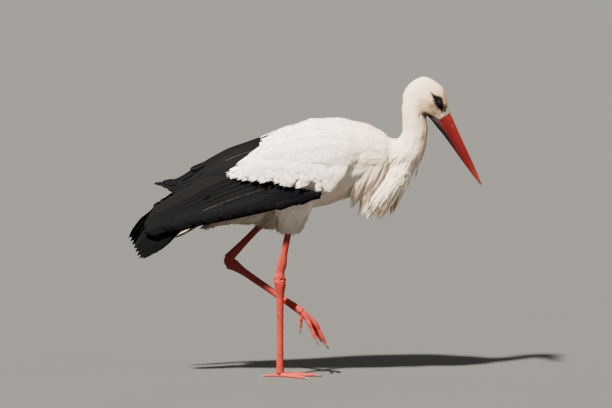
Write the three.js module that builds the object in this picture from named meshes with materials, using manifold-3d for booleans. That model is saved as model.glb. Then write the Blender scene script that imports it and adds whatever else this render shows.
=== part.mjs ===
// An adult white stork, life size, standing on its right leg with its left foot lifted.
// Millimetres, +Z up, the bird faces +X and its left side is +Y. The origin is on the floor, under the
// ball of the standing foot.
import * as THREE from "three";
import { mergeVertices } from "three/addons/utils/BufferGeometryUtils.js";
import Module from "manifold-3d";

const wasm = await Module();
wasm.setup();

// ---- driving dimensions -------------------------------------------------------------------------

const GAP = 0.35; // clearance between neighbouring pieces
const RIGHT = -1;
const LEFT = 1;

const BILL_BASE = new THREE.Vector3(371, 0, 602);
const BILL_TIP = new THREE.Vector3(463, 0, 444);
const BILL_DEPTH = 20.5; // half the depth of the bill where it leaves the face
const EYE = { x: 366.5, y: 15.8, z: 634, radius: 8.6 };

// Each leg by the places that set its pose: the knee inside the plumage, the heel that the shank runs
// down to, the hock that the tarsus hangs from, and the ball of the foot.
const LEGS = {
  right: {
    side: RIGHT,
    knee: new THREE.Vector3(43, -42, 458),
    heel: new THREE.Vector3(-2.5, -15.5, 227),
    hock: new THREE.Vector3(0, -15, 224),
    ball: new THREE.Vector3(0, 0, 8),
    ballSize: 9.4,
  },
  left: {
    side: LEFT,
    knee: new THREE.Vector3(46, 42, 441),
    heel: new THREE.Vector3(-121, 58, 266),
    hock: new THREE.Vector3(-114, 58, 257),
    ball: new THREE.Vector3(50, 20, 148),
    ballSize: 8.2,
  },
};
const TOE_LENGTHS = { inner: 65, middle: 87, outer: 73, hind: 36 };
const TOE_SPREAD = THREE.MathUtils.degToRad(37);
const CLAW_LENGTH = 11;

const COLOURS = {
  white_plumage: 0xece6dc,
  black_plumage: 0x17151a,
  bill: 0x9c2b1f,
  leg: 0xb9412c,
  eye: 0x17110d,
  claw: 0x2b2320,
};

// ---- shape helpers ------------------------------------------------------------------------------

/**
 * One station of a swept piece: a point of its spine and its half sizes there. The first is its half
 * width. The other two lie left and right of the spine's way, as seen from the bird's right side.
 */
function station(x, y, z, wide, left, right = left) {
  return { point: new THREE.Vector3(x, y, z), size: new THREE.Vector3(wide, left, right) };
}

/** A station given by a point in place of its coordinates. */
function stationAt(point, wide, left, right = left) {
  return station(point.x, point.y, point.z, wide, left, right);
}

/**
 * The outline of a section of unit size from end to end. It is rounded off over the blunt share at each
 * end by the given number of cap rings, or cut off square where that share is 0.
 */
function unitOutline(rings, caps, [first, last]) {
  const cap = Array.from({ length: caps }, (_, i) => (Math.PI / 2) * ((i + 1) / (caps + 1)));
  const outline = [new THREE.Vector2(0, 0)];
  if (first > 0) {
    cap.forEach((a) => outline.push(new THREE.Vector2(Math.sin(a), first * (1 - Math.cos(a)))));
  }
  for (let i = 0; i <= rings; i++) {
    outline.push(new THREE.Vector2(1, THREE.MathUtils.lerp(first, 1 - last, i / rings)));
  }
  if (last > 0) {
    cap.reverse();
    cap.forEach((a) => outline.push(new THREE.Vector2(Math.sin(a), 1 - last * (1 - Math.cos(a)))));
  }
  outline.push(new THREE.Vector2(0, 1));
  return outline;
}

/**
 * A closed body swept along a smooth spine through its stations. Each section is an oval whose width
 * runs along Y, or along Y turned by lean about the spine. grow makes it larger all over.
 */
function sweep(stations, shape = {}) {
  const { sides = 10, rings = 5, caps = 1, blunt = [0.12, 0.12], lean = 0, grow = 0 } = shape;
  const spine = new THREE.CatmullRomCurve3(stations.map((s) => s.point), false, "catmullrom");
  const sizes = new THREE.CatmullRomCurve3(stations.map((s) => s.size), false, "catmullrom");
  const geometry = new THREE.LatheGeometry(unitOutline(rings, caps, blunt), sides);
  const place = geometry.getAttribute("position");
  const ahead = new THREE.Vector3();
  const side = new THREE.Vector3();
  const left = new THREE.Vector3();
  for (let i = 0; i < place.count; i++) {
    const u = place.getY(i);
    const across = -place.getX(i);
    const beside = place.getZ(i);
    spine.getTangent(u, ahead);
    side.set(0, 1, 0).addScaledVector(ahead, -ahead.y).normalize();
    side.applyAxisAngle(ahead, lean);
    left.crossVectors(ahead, side);
    const size = sizes.getPoint(u).addScalar(grow);
    const point = spine.getPoint(u);
    point.addScaledVector(ahead, grow * (2 * u - 1));
    point.addScaledVector(side, across * size.x);
    point.addScaledVector(left, beside * (beside > 0 ? size.y : size.z));
    place.setXYZ(i, point.x, point.y, point.z);
  }
  return solidOf(geometry);
}

/** The manifold solid of a closed three.js geometry. */
function solidOf(geometry) {
  geometry.deleteAttribute("normal");
  geometry.deleteAttribute("uv");
  const merged = mergeVertices(geometry, 1e-3);
  const index = merged.index.array;
  const triangles = [];
  for (let i = 0; i < index.length; i += 3) {
    const [a, b, c] = [index[i], index[i + 1], index[i + 2]];
    if (a !== b && b !== c && c !== a) triangles.push(a, b, c);
  }
  return new wasm.Manifold(
    new wasm.Mesh({
      numProp: 3,
      vertProperties: merged.attributes.position.array,
      triVerts: new Uint32Array(triangles),
    }),
  );
}

/** The solid of a box, given its centre and its sizes, turned about Y by tilt. */
function slab(centre, sizes, tilt = 0) {
  const geometry = new THREE.BoxGeometry(...sizes);
  geometry.rotateY(tilt);
  geometry.translate(centre.x, centre.y, centre.z);
  return solidOf(geometry);
}

/** The largest connected body of a solid. */
function largest(solid) {
  const bodies = solid.decompose();
  return bodies.reduce((best, body) => (body.volume() > best.volume() ? body : best));
}

/** A piece less the room that its neighbours take. */
function clearOf(solid, ...neighbours) {
  return largest(neighbours.reduce((left, neighbour) => left.subtract(neighbour), solid));
}

/** Several overlapping solids as one. */
function joined(solids) {
  return solids.reduce((whole, solid) => whole.add(solid));
}

/** The two bodies that a thin cut leaves of a solid, the one whose middle lies higher first. */
function parted(solid, cut) {
  const middle = (body) => body.boundingBox().min[2] + body.boundingBox().max[2];
  const bodies = solid.subtract(cut).decompose();
  const pair = bodies.sort((a, b) => b.volume() - a.volume()).slice(0, 2);
  return pair.sort((a, b) => middle(b) - middle(a));
}

/** The point a share of the way from one point to another. */
function between(from, to, share) {
  return new THREE.Vector3().lerpVectors(from, to, share);
}

/** The point a share of the way along a smooth curve through some points. */
function along(points, share) {
  return points.length > 1 ? new THREE.CatmullRomCurve3(points).getPoint(share) : points[0];
}

/**
 * A long feather: a thin blade from root to tip, turned by lean about its shaft. bow lifts its middle off
 * the straight line, and flare lifts it nearer the tip.
 */
function blade({ root, tip, half, thick = 2, bow = 0, flare = 0, lean = 0, point = 0.35, grow = 0 }) {
  const lifted = (share, lift) => between(root, tip, share).add(new THREE.Vector3(0, 0, lift));
  const stations = [
    stationAt(root, thick, half * 0.6),
    stationAt(lifted(0.4, bow), thick, half),
    stationAt(lifted(0.8, flare), thick * 0.8, half * 0.92),
    stationAt(tip, thick * 0.5, half * point),
  ];
  return sweep(stations, { sides: 4, rings: 3, blunt: [0, 0.09], lean, grow });
}

/** A fan of blades. Roots and tips follow smooth curves, and half width and lean go evenly across. */
function fan({ count, roots, tips, halves, leans = [0, 0], ...shape }) {
  const blades = Array.from({ length: count }, (_, i) => {
    const share = i / (count - 1);
    return blade({
      root: along(roots, share),
      tip: along(tips, share),
      half: THREE.MathUtils.lerp(halves[0], halves[1], share),
      lean: THREE.MathUtils.lerp(leans[0], leans[1], share),
      ...shape,
    });
  });
  return joined(blades);
}

/** A point of one side of the bird, given how far it is out from the middle plane. */
function onSide(side, x, out, z) {
  return new THREE.Vector3(x, side * out, z);
}

// ---- head, bill and eyes ------------------------------------------------------------------------

function head(grow = 0) {
  const stations = [
    station(323, 0, 694, 14, 17, 30),
    station(328, 0, 678, 21, 28, 43),
    station(334, 0, 659, 25, 41, 58),
    station(344, 0, 638, 25, 42, 50),
    station(357, 0, 618, 21.5, 35, 20),
    station(375.5, 0, 596, 14.8, 19, 11.5),
  ];
  return sweep(stations, { sides: 14, rings: 6, caps: 2, blunt: [0.2, 0.04], grow });
}

function eyeBall(side, grow = 0) {
  const geometry = new THREE.SphereGeometry(EYE.radius + grow, 8, 6);
  geometry.translate(EYE.x, side * EYE.y, EYE.z);
  return solidOf(geometry);
}

/** The root of the lower jaw, which runs back under the cheek. */
const JAW = [station(333, 0, 609, 7, 3.5), station(348, 0, 600, 11.5, 7.5), station(364, 0, 588, 13, 11)];

function bill(grow = 0) {
  const at = (share) => between(BILL_BASE, BILL_TIP, share);
  const stations = [
    stationAt(at(-0.05), 14, BILL_DEPTH),
    stationAt(at(0.05), 13.5, BILL_DEPTH),
    stationAt(at(0.35), 10, BILL_DEPTH * 0.72),
    stationAt(at(0.7), 6.5, BILL_DEPTH * 0.42),
    stationAt(at(1), 1.6, 1.8),
  ];
  const horn = sweep(stations, { sides: 12, rings: 4, blunt: [0, 0.015], grow });
  return horn.add(sweep(JAW, { sides: 8, rings: 2, blunt: [0.15, 0.1], grow }));
}

/** The upper and the lower half of the bill, parted by a thin cut along the line of the mouth. */
function billHalves() {
  const run = new THREE.Vector3().subVectors(BILL_TIP, BILL_BASE);
  const tilt = Math.atan2(-run.z, run.x) - THREE.MathUtils.degToRad(1.2);
  const mouth = between(BILL_BASE, BILL_TIP, 0.5).add(new THREE.Vector3(-1.8, 0, -1));
  const cut = slab(mouth, [3 * run.length(), 80, GAP * 1.6], tilt);
  return parted(clearOf(bill(), head(GAP)), cut);
}

// ---- neck and the plumes that hang from it ------------------------------------------------------

function neck(grow = 0) {
  const stations = [
    station(205, 0, 503, 52, 58, 58),
    station(255, 0, 508, 43, 49, 57),
    station(292, 0, 525, 35, 34, 45),
    station(308, 0, 559, 29, 29, 33),
    station(309, 0, 593, 27, 29, 31),
    station(318, 0, 629, 26, 40, 16),
    station(328, 0, 651, 21, 34, 14),
  ];
  return sweep(stations, { sides: 12, rings: 7, grow });
}

/** The two lengths of the neck, parted where it rises out of the shoulders. */
function neckLengths(...neighbours) {
  const cut = slab(new THREE.Vector3(305, 0, 550), [160, 160, GAP * 1.6], -0.35);
  return parted(clearOf(neck(), head(GAP), bill(GAP), ...neighbours), cut);
}

/** The long plumes under the base of the neck: a swollen lobe that ends in separate tips. */
function breastPlumes(grow = 0) {
  const lobe = sweep(
    [
      station(302, 0, 500, 30, 22, 24),
      station(278, 0, 468, 46, 24, 42),
      station(250, 0, 434, 45, 20, 44),
      station(228, 0, 408, 36, 18, 36),
    ],
    { sides: 8, rings: 3, blunt: [0.2, 0.25], grow },
  );
  const tips = { count: 3, halves: [10, 12], thick: 3.4, point: 0.12, grow };
  const plumes = [-1, 1].map((side) =>
    fan({
      ...tips,
      roots: [onSide(side, 232, 22, 432), onSide(side, 262, 14, 436)],
      tips: [onSide(side, 156, 27, 386), onSide(side, 198, 34, 364), onSide(side, 247, 12, 359)],
    }),
  );
  const throat = blade({
    root: new THREE.Vector3(311, 0, 492),
    tip: new THREE.Vector3(305, 0, 449),
    half: 6,
    thick: 3,
    grow,
  });
  const front = blade({
    root: new THREE.Vector3(276, 0, 452),
    tip: new THREE.Vector3(262, 0, 396),
    half: 9,
    thick: 3,
    grow,
  });
  return joined([lobe, ...plumes, front, throat]);
}

// ---- trunk, wings and tail ----------------------------------------------------------------------

function trunk(grow = 0) {
  const stations = [
    station(-162, 0, 410, 16, 12, 12),
    station(-118, 0, 430, 42, 40, 48),
    station(-50, 0, 457, 66, 84, 84),
    station(30, 0, 481, 80, 99, 99),
    station(105, 0, 499, 84, 103, 99),
    station(178, 0, 510, 74, 86, 84),
    station(235, 0, 511, 56, 59, 62),
    station(270, 0, 511, 38, 41, 44),
  ];
  return sweep(stations, { sides: 16, rings: 7, grow });
}

/** The folded arm with its white coverts, which lies on the flank. */
function wing(side, grow = 0) {
  const stations = [
    station(-128, side * 41, 474, 12, 7),
    station(-88, side * 47, 479, 23, 17),
    station(-54, side * 50, 494, 31, 34),
    station(-16, side * 53, 505, 36, 49),
    station(50, side * 56, 508, 40, 64),
    station(104, side * 58, 511, 38, 71),
    station(146, side * 58, 523, 31, 53),
    station(190, side * 57, 536, 14, 22),
  ];
  return sweep(stations, { sides: 12, rings: 8, blunt: [0.08, 0.08], grow });
}

/** The long black feathers that cover the rump from above and end in a beak-like point. */
function tertials(side, grow = 0) {
  const feathers = fan({
    count: 4,
    roots: [onSide(side, -26, 9, 559), onSide(side, -46, 34, 541), onSide(side, -86, 57, 488)],
    tips: [onSide(side, -288, 8, 447), onSide(side, -262, 20, 443), onSide(side, -236, 38, 422)],
    halves: [14, 21],
    leans: [side * -1.25, side * -0.25],
    bow: 4,
    flare: -14,
    thick: 2.6,
    grow,
  });
  const spike = blade({
    root: onSide(side, -90, 14, 527),
    tip: onSide(side, -206, 16, 480),
    half: 6,
    lean: side * -0.9,
    grow,
  });
  return feathers.add(spike);
}

/** The black band along the lower flank, and the blunt tips that fan out behind it. */
function secondaries(side, grow = 0) {
  return fan({
    count: 7,
    roots: [onSide(side, 93, 86, 431), onSide(side, 20, 84, 446), onSide(side, -92, 60, 482)],
    tips: [
      onSide(side, -12, 85, 391),
      onSide(side, -130, 73, 369),
      onSide(side, -255, 48, 334),
      onSide(side, -316, 34, 332),
      onSide(side, -302, 30, 366),
    ],
    halves: [10, 26],
    leans: [side * 0.1, side * -0.3],
    bow: 5,
    flare: 2,
    thick: 3,
    point: 0.5,
    grow,
  });
}

/** The wing tip, which shows under and behind the secondaries. The left one lies a little higher. */
function primaries(side, grow = 0) {
  const [back, lift] = side === LEFT ? [13, 20] : [0, 0];
  return fan({
    count: 4,
    roots: [onSide(side, -84, 60, 402), onSide(side, -96, 48, 436)],
    tips: [
      onSide(side, -283 - back, 34, 293 + lift),
      onSide(side, -320 - back, 28, 276 + lift),
      onSide(side, -336 - back, 22, 300 + lift),
    ],
    halves: [11, 15],
    leans: [side * -0.1, side * -0.4],
    bow: 32,
    flare: 29,
    thick: 2.4,
    grow,
  });
}

function tail(grow = 0) {
  const feathers = fan({
    count: 4,
    roots: [new THREE.Vector3(-108, -22, 392), new THREE.Vector3(-108, 22, 392)],
    tips: [
      new THREE.Vector3(-230, -42, 326),
      new THREE.Vector3(-241, 0, 322),
      new THREE.Vector3(-230, 42, 326),
    ],
    halves: [18, 18],
    leans: [Math.PI / 2, Math.PI / 2],
    thick: 2.4,
    bow: 4,
    point: 0.6,
    grow,
  });
  const coverts = sweep(
    [
      station(-70, 0, 392, 40, 22, 22),
      station(-125, 0, 370, 33, 17, 17),
      station(-180, 0, 343, 20, 7, 7),
    ],
    { sides: 8, rings: 3, grow },
  );
  return coverts.add(feathers);
}

/** The far side of the bird's middle plane, which a piece of one side stays out of. */
function farSide(side) {
  return slab(new THREE.Vector3(-150, -side * (200 - GAP), 400), [700, 400, 700]);
}

// ---- legs ---------------------------------------------------------------------------------------

/** The feathered upper leg, a loose trouser that ends above the bare shank. */
function thigh({ knee, heel }, grow = 0) {
  const at = (share) => between(knee, heel, share);
  const stations = [
    stationAt(at(-0.02), 30, 48),
    stationAt(at(0.18), 32, 50),
    stationAt(at(0.36), 27, 41),
    stationAt(at(0.47), 21, 33),
    stationAt(at(0.555), 15, 25),
  ];
  return sweep(stations, { sides: 10, rings: 4, grow });
}

/** The bare shank down to the top of the hock. */
function shank({ knee, heel }, grow = 0) {
  const at = (share) => between(knee, heel, share);
  const stations = [
    stationAt(at(0.5), 6.8, 7.4),
    stationAt(at(0.7), 6.6, 7.8),
    stationAt(at(0.87), 7.6, 9.4),
    stationAt(at(0.98), 9.2, 13),
  ];
  return sweep(stations, { sides: 8, rings: 4, blunt: [0, 0.06], grow });
}

/** The hock, the tarsus and the ball that the toes spring from. */
function tarsus({ hock, ball, ballSize }, grow = 0) {
  const at = (share) => between(hock, ball, share);
  const stations = [
    stationAt(at(-0.05), 7.4, 11),
    stationAt(at(0.02), 10, 13.8),
    stationAt(at(0.09), 8.4, 11.2),
    stationAt(at(0.2), 6.2, 8),
    stationAt(at(0.7), 5.6, 7.2),
    stationAt(at(0.93), 7.5, 8.2),
    stationAt(at(1.02), ballSize, ballSize),
  ];
  return sweep(stations, { sides: 8, rings: 7, blunt: [0.05, 0.05], grow });
}

/** A jointed toe from root to tip, thicker at its knuckles. arch lifts its middle forward and up. */
function toe({ root, tip, half, arch = 0 }, grow = 0) {
  const lift = (share) => new THREE.Vector3(0.8, 0, 0.6).multiplyScalar(arch * share);
  const at = (share, arched) => between(root, tip, share).add(lift(arched));
  const stations = [
    stationAt(at(-0.06, 0), half * 0.95, half * 0.9),
    stationAt(at(0.22, 0.85), half * 0.88, half * 0.84),
    stationAt(at(0.42, 1), half, half * 0.98),
    stationAt(at(0.6, 0.75), half * 0.78, half * 0.76),
    stationAt(at(0.78, 0.4), half * 0.88, half * 0.84),
    stationAt(at(1, 0), half * 0.62, half * 0.6),
  ];
  return sweep(stations, { sides: 6, rings: 5, blunt: [0, 0.08], grow });
}

/** A short flat claw that carries on from a toe's tip, a little curved down. */
function claw({ root, tip, half }) {
  const ahead = new THREE.Vector3().subVectors(tip, root).normalize();
  const end = tip.clone().addScaledVector(ahead, CLAW_LENGTH).add(new THREE.Vector3(0, 0, -1.4));
  const stations = [
    stationAt(tip.clone().addScaledVector(ahead, -3), half * 0.62, half * 0.5),
    stationAt(between(tip, end, 0.45), half * 0.55, half * 0.42),
    stationAt(end, half * 0.2, half * 0.16),
  ];
  return sweep(stations, { sides: 4, rings: 2, blunt: [0, 0.1] });
}

/** Everything above the floor. */
function aboveFloor(solid) {
  return largest(solid.trimByPlane([0, 0, 1], 0));
}

/** The standing foot's toes, fanned about straight ahead, each with a flat sole. */
function standingToes(ball) {
  const one = (length, turn, half) => {
    const ahead = new THREE.Vector3(Math.cos(turn), Math.sin(turn), 0);
    const root = ahead.clone().multiplyScalar(4).add(ball);
    const tip = ahead.clone().multiplyScalar(length).add(ball);
    return { root: root.setZ(half * 0.86 - 1.3), tip: tip.setZ(half * 0.6 - 0.6), half };
  };
  return {
    inner: one(TOE_LENGTHS.inner, TOE_SPREAD, 5.2),
    middle: one(TOE_LENGTHS.middle, 0, 5.6),
    outer: one(TOE_LENGTHS.outer, -TOE_SPREAD, 5.2),
    hind: one(TOE_LENGTHS.hind, Math.PI + 0.12, 4.2),
  };
}

/** The lifted foot's toes, which hang from the ball and half close. */
function hangingToes(ball) {
  const one = (x, y, z, half, arch) => {
    const tip = new THREE.Vector3(x, y, z).add(ball);
    return { root: between(ball, tip, 0.05), tip, half, arch };
  };
  return {
    inner: one(34, -16, -65, 5.4, 3),
    middle: one(56, 1, -77, 5.8, 9),
    outer: one(41, 19, -64, 5.2, 7),
    hind: one(-3, 0, -40, 4.2, 0),
  };
}

// ---- the bird -----------------------------------------------------------------------------------

/** Every named solid of the bird, with the finish that it wears. */
function makePieces() {
  const pieces = [];
  const keep = (name, finish, solid) => pieces.push({ name, finish, solid });
  const trunkRoom = trunk(GAP);

  keep("head", "white_plumage", clearOf(head(), eyeBall(LEFT, GAP), eyeBall(RIGHT, GAP)));
  keep("eye_left", "eye", eyeBall(LEFT));
  keep("eye_right", "eye", eyeBall(RIGHT));
  const [upper, lower] = billHalves();
  keep("bill_upper", "bill", upper);
  keep("bill_lower", "bill", lower);
  const [neckUpper, neckLower] = neckLengths(trunkRoom);
  keep("neck_upper", "white_plumage", neckUpper);
  keep("neck_lower", "white_plumage", neckLower);
  keep("breast_plumes", "white_plumage", clearOf(breastPlumes(), trunkRoom, neck(GAP)));
  keep("trunk", "white_plumage", trunk());

  const roomForTail = [trunkRoom];
  for (const [name, leg] of Object.entries(LEGS)) {
    const { side } = leg;
    const rooms = [trunkRoom, thigh(leg, GAP)];
    keep(`thigh_${name}`, "white_plumage", clearOf(thigh(leg), trunkRoom));
    keep(`wing_${name}`, "white_plumage", clearOf(wing(side), ...rooms));
    rooms.push(wing(side, GAP), farSide(side));
    for (const [group, make] of Object.entries({ tertials, secondaries, primaries })) {
      keep(`${group}_${name}`, "black_plumage", clearOf(make(side), ...rooms));
      rooms.push(make(side, GAP));
    }
    roomForTail.push(...rooms.filter((room) => room !== trunkRoom).slice(0, 2), ...rooms.slice(4));
  }
  keep("tail", "white_plumage", clearOf(tail(), ...roomForTail));

  addLeg(keep, "right", LEGS.right, standingToes(LEGS.right.ball));
  addLeg(keep, "left", LEGS.left, hangingToes(LEGS.left.ball));
  return pieces;
}

/** Shank, tarsus, toes and claws of one leg, each clear of the pieces before it. */
function addLeg(keep, name, leg, toes) {
  keep(`shank_${name}`, "leg", clearOf(shank(leg), thigh(leg, GAP), tarsus(leg, GAP)));
  keep(`tarsus_${name}`, "leg", aboveFloor(tarsus(leg)));
  let taken = tarsus(leg, GAP);
  for (const [which, shape] of Object.entries(toes)) {
    keep(`toe_${which}_${name}`, "leg", aboveFloor(clearOf(toe(shape), taken)));
    keep(`claw_${which}_${name}`, "claw", aboveFloor(clearOf(claw(shape), toe(shape, GAP))));
    taken = taken.add(toe(shape, GAP));
  }
}

/** A three.js mesh of a manifold solid. */
function meshOf({ name, finish, solid }) {
  const { vertProperties, triVerts, numProp } = solid.getMesh();
  const geometry = new THREE.BufferGeometry();
  const interleaved = new THREE.InterleavedBuffer(vertProperties, numProp);
  geometry.setAttribute("position", new THREE.InterleavedBufferAttribute(interleaved, 3, 0));
  geometry.setIndex(new THREE.BufferAttribute(triVerts, 1));
  const glossy = finish === "eye" || finish === "bill";
  const material = new THREE.MeshStandardMaterial({
    color: COLOURS[finish],
    roughness: glossy ? 0.25 : 0.8,
    metalness: 0,
  });
  const mesh = new THREE.Mesh(geometry, material);
  mesh.name = name;
  return mesh;
}

const stork = new THREE.Group();
stork.name = "white_stork";
for (const piece of makePieces()) stork.add(meshOf(piece));

export default stork;
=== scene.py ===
"""A white stork at life size, standing on its right leg with its left foot lifted.

The bird faces +X and its left side is +Y. The origin is on the floor under the ball of the standing
foot. Sizes in the classes are millimetres, and meshes are written in metres.
"""

from __future__ import annotations

import logging
import math
from dataclasses import dataclass, field
from enum import Enum
from typing import Any, Callable, Iterable, Sequence

import bmesh
import bpy
import numpy as np
from mathutils import Matrix, Vector
from mathutils.bvhtree import BVHTree
from mathutils.kdtree import KDTree

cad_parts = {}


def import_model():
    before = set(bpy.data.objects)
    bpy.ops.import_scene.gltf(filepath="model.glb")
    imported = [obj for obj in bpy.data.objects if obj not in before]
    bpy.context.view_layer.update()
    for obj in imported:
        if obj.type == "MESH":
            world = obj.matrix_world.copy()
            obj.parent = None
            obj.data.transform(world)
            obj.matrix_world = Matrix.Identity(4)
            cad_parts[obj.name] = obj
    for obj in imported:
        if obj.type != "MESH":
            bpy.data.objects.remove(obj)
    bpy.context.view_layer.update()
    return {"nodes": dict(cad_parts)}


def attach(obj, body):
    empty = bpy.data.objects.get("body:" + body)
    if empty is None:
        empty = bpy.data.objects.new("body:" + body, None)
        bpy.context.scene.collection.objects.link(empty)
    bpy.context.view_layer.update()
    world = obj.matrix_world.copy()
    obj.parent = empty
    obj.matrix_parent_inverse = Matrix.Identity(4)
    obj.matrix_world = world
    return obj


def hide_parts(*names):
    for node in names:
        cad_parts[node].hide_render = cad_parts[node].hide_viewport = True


Array = np.ndarray
Colour = tuple[float, float, float, float]
Triple = tuple[float, float, float]

LOG = logging.getLogger("stork")
MM = 0.001
BODY = "root"


class Side(Enum):
    """A side of the bird, as the sign of its Y."""

    RIGHT = -1
    LEFT = 1

    @property
    def word(self) -> str:
        """The side's name as it stands in node names."""
        return self.name.lower()


class Slot(Enum):
    """The material slots that the tracts and feather sets name, which are not given to the pieces."""

    PLUMAGE = "white_plumage"
    LIMB = "feathered_limb"
    FLIGHT = "flight_feather"
    BILL = "bill_horn"
    LEG = "leg_skin"
    EYE = "eye"
    CLAW = "claw_horn"


# ---- vectors and curves ---------------------------------------------------------------------------


def unit(vectors: Array) -> Array:
    """Vectors scaled to length 1."""
    return vectors / np.maximum(np.linalg.norm(vectors, axis=-1, keepdims=True), 1e-9)


def flat_on(vectors: Array, normals: Array) -> Array:
    """Vectors laid flat on the planes that have the given normals, scaled to length 1."""
    return unit(vectors - normals * np.sum(vectors * normals, axis=-1, keepdims=True))


def eased(values: Array, low: float, high: float) -> Array:
    """A smooth rise from 0 at low to 1 at high."""
    share = np.clip((values - low) / (high - low), 0, 1)
    return share * share * (3 - 2 * share)


class Path:
    """A smooth curve through rows of numbers that are evenly spaced along it."""

    def __init__(self, rows: Sequence[Sequence[float]] | Array) -> None:
        """Keeps the rows.

        Args:
            rows: The numbers that the curve passes through, a row for each place.
        """
        rows = np.asarray(rows, float)
        self.count = len(rows)
        self.rows = np.vstack([2 * rows[0] - rows[1], rows, 2 * rows[-1] - rows[-2]])

    def _span(self, shares: Array) -> tuple[Array, list[Array]]:
        """The place within its span and the four rows about it, for each share."""
        along = np.clip(np.asarray(shares, float), 0, 1) * (self.count - 1)
        first = np.minimum(along.astype(int), self.count - 2)
        return (along - first)[..., None], [self.rows[first + i] for i in range(4)]

    def at(self, shares: Array | float) -> Array:
        """The curve's numbers at shares of its length from 0 to 1."""
        t, (a, b, c, d) = self._span(shares)
        return 0.5 * (2 * b + (c - a) * t + (2 * a - 5 * b + 4 * c - d) * t**2 + (3 * b - a - 3 * c + d) * t**3)

    def ahead(self, shares: Array | float) -> Array:
        """The curve's direction at shares of its length, at length 1."""
        t, (a, b, c, d) = self._span(shares)
        return unit((c - a) + 2 * (2 * a - 5 * b + 4 * c - d) * t + 3 * (3 * b - a - 3 * c + d) * t**2)


# ---- meshes ---------------------------------------------------------------------------------------


def place_piece(
    name: str, mesh: bpy.types.Mesh, material: bpy.types.Material, replaced: Iterable[str] = ()
) -> bpy.types.Object:
    """Makes a finished piece of a mesh and fixes it to the bird.

    Args:
        name: The piece's name.
        mesh: Its mesh, in metres.
        material: Its finish.
        replaced: The CAD nodes that it stands for.

    Returns:
        The piece.
    """
    mesh.name = name
    mesh.materials.clear()
    mesh.materials.append(material)
    mesh.polygons.foreach_set("use_smooth", np.ones(len(mesh.polygons), bool))
    piece = bpy.data.objects.new(name, mesh)
    bpy.context.scene.collection.objects.link(piece)
    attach(piece, BODY)
    if replaced:
        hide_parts(*replaced)
    LOG.info("%s: %d faces", name, len(mesh.polygons))
    return piece


def mesh_of(bm: bmesh.types.BMesh, name: str) -> bpy.types.Mesh:
    """Writes a bmesh to a new mesh and frees it."""
    mesh = bpy.data.meshes.new(name)
    bm.to_mesh(mesh)
    bm.free()
    return mesh


def mesh_from_arrays(name: str, points: Array, triangles: Array) -> bpy.types.Mesh:
    """A mesh of triangles.

    Args:
        name: The mesh's name.
        points: Its vertices in millimetres.
        triangles: The three vertices of each face.

    Returns:
        The mesh, in metres.
    """
    mesh = bpy.data.meshes.new(name)
    mesh.vertices.add(len(points))
    mesh.vertices.foreach_set("co", (points * MM).astype(np.float32).ravel())
    mesh.loops.add(triangles.size)
    mesh.loops.foreach_set("vertex_index", triangles.astype(np.int32).ravel())
    mesh.polygons.add(len(triangles))
    mesh.polygons.foreach_set("loop_start", np.arange(0, triangles.size, 3, dtype=np.int32))
    mesh.update(calc_edges=True)
    return mesh


def set_map(mesh: bpy.types.Mesh, name: str, places: Array) -> None:
    """Gives a mesh of triangles a UV map from a place for each vertex."""
    corners = np.zeros(len(mesh.loops), np.int32)
    mesh.loops.foreach_get("vertex_index", corners)
    mesh.uv_layers.new(name=name).data.foreach_set("uv", places[corners].astype(np.float32).ravel())


def merged(mesh: bpy.types.Mesh, swell: float = 0.0) -> bmesh.types.BMesh:
    """A CAD node's loose triangles as one skin.

    Args:
        mesh: The node's mesh.
        swell: How far each vertex is moved out, in millimetres.

    Returns:
        A new bmesh.
    """
    bm = bmesh.new()
    bm.from_mesh(mesh)
    bmesh.ops.remove_doubles(bm, verts=bm.verts, dist=1e-6)
    bm.normal_update()
    for vertex in bm.verts:
        vertex.co += vertex.normal * swell * MM
    return bm


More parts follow.
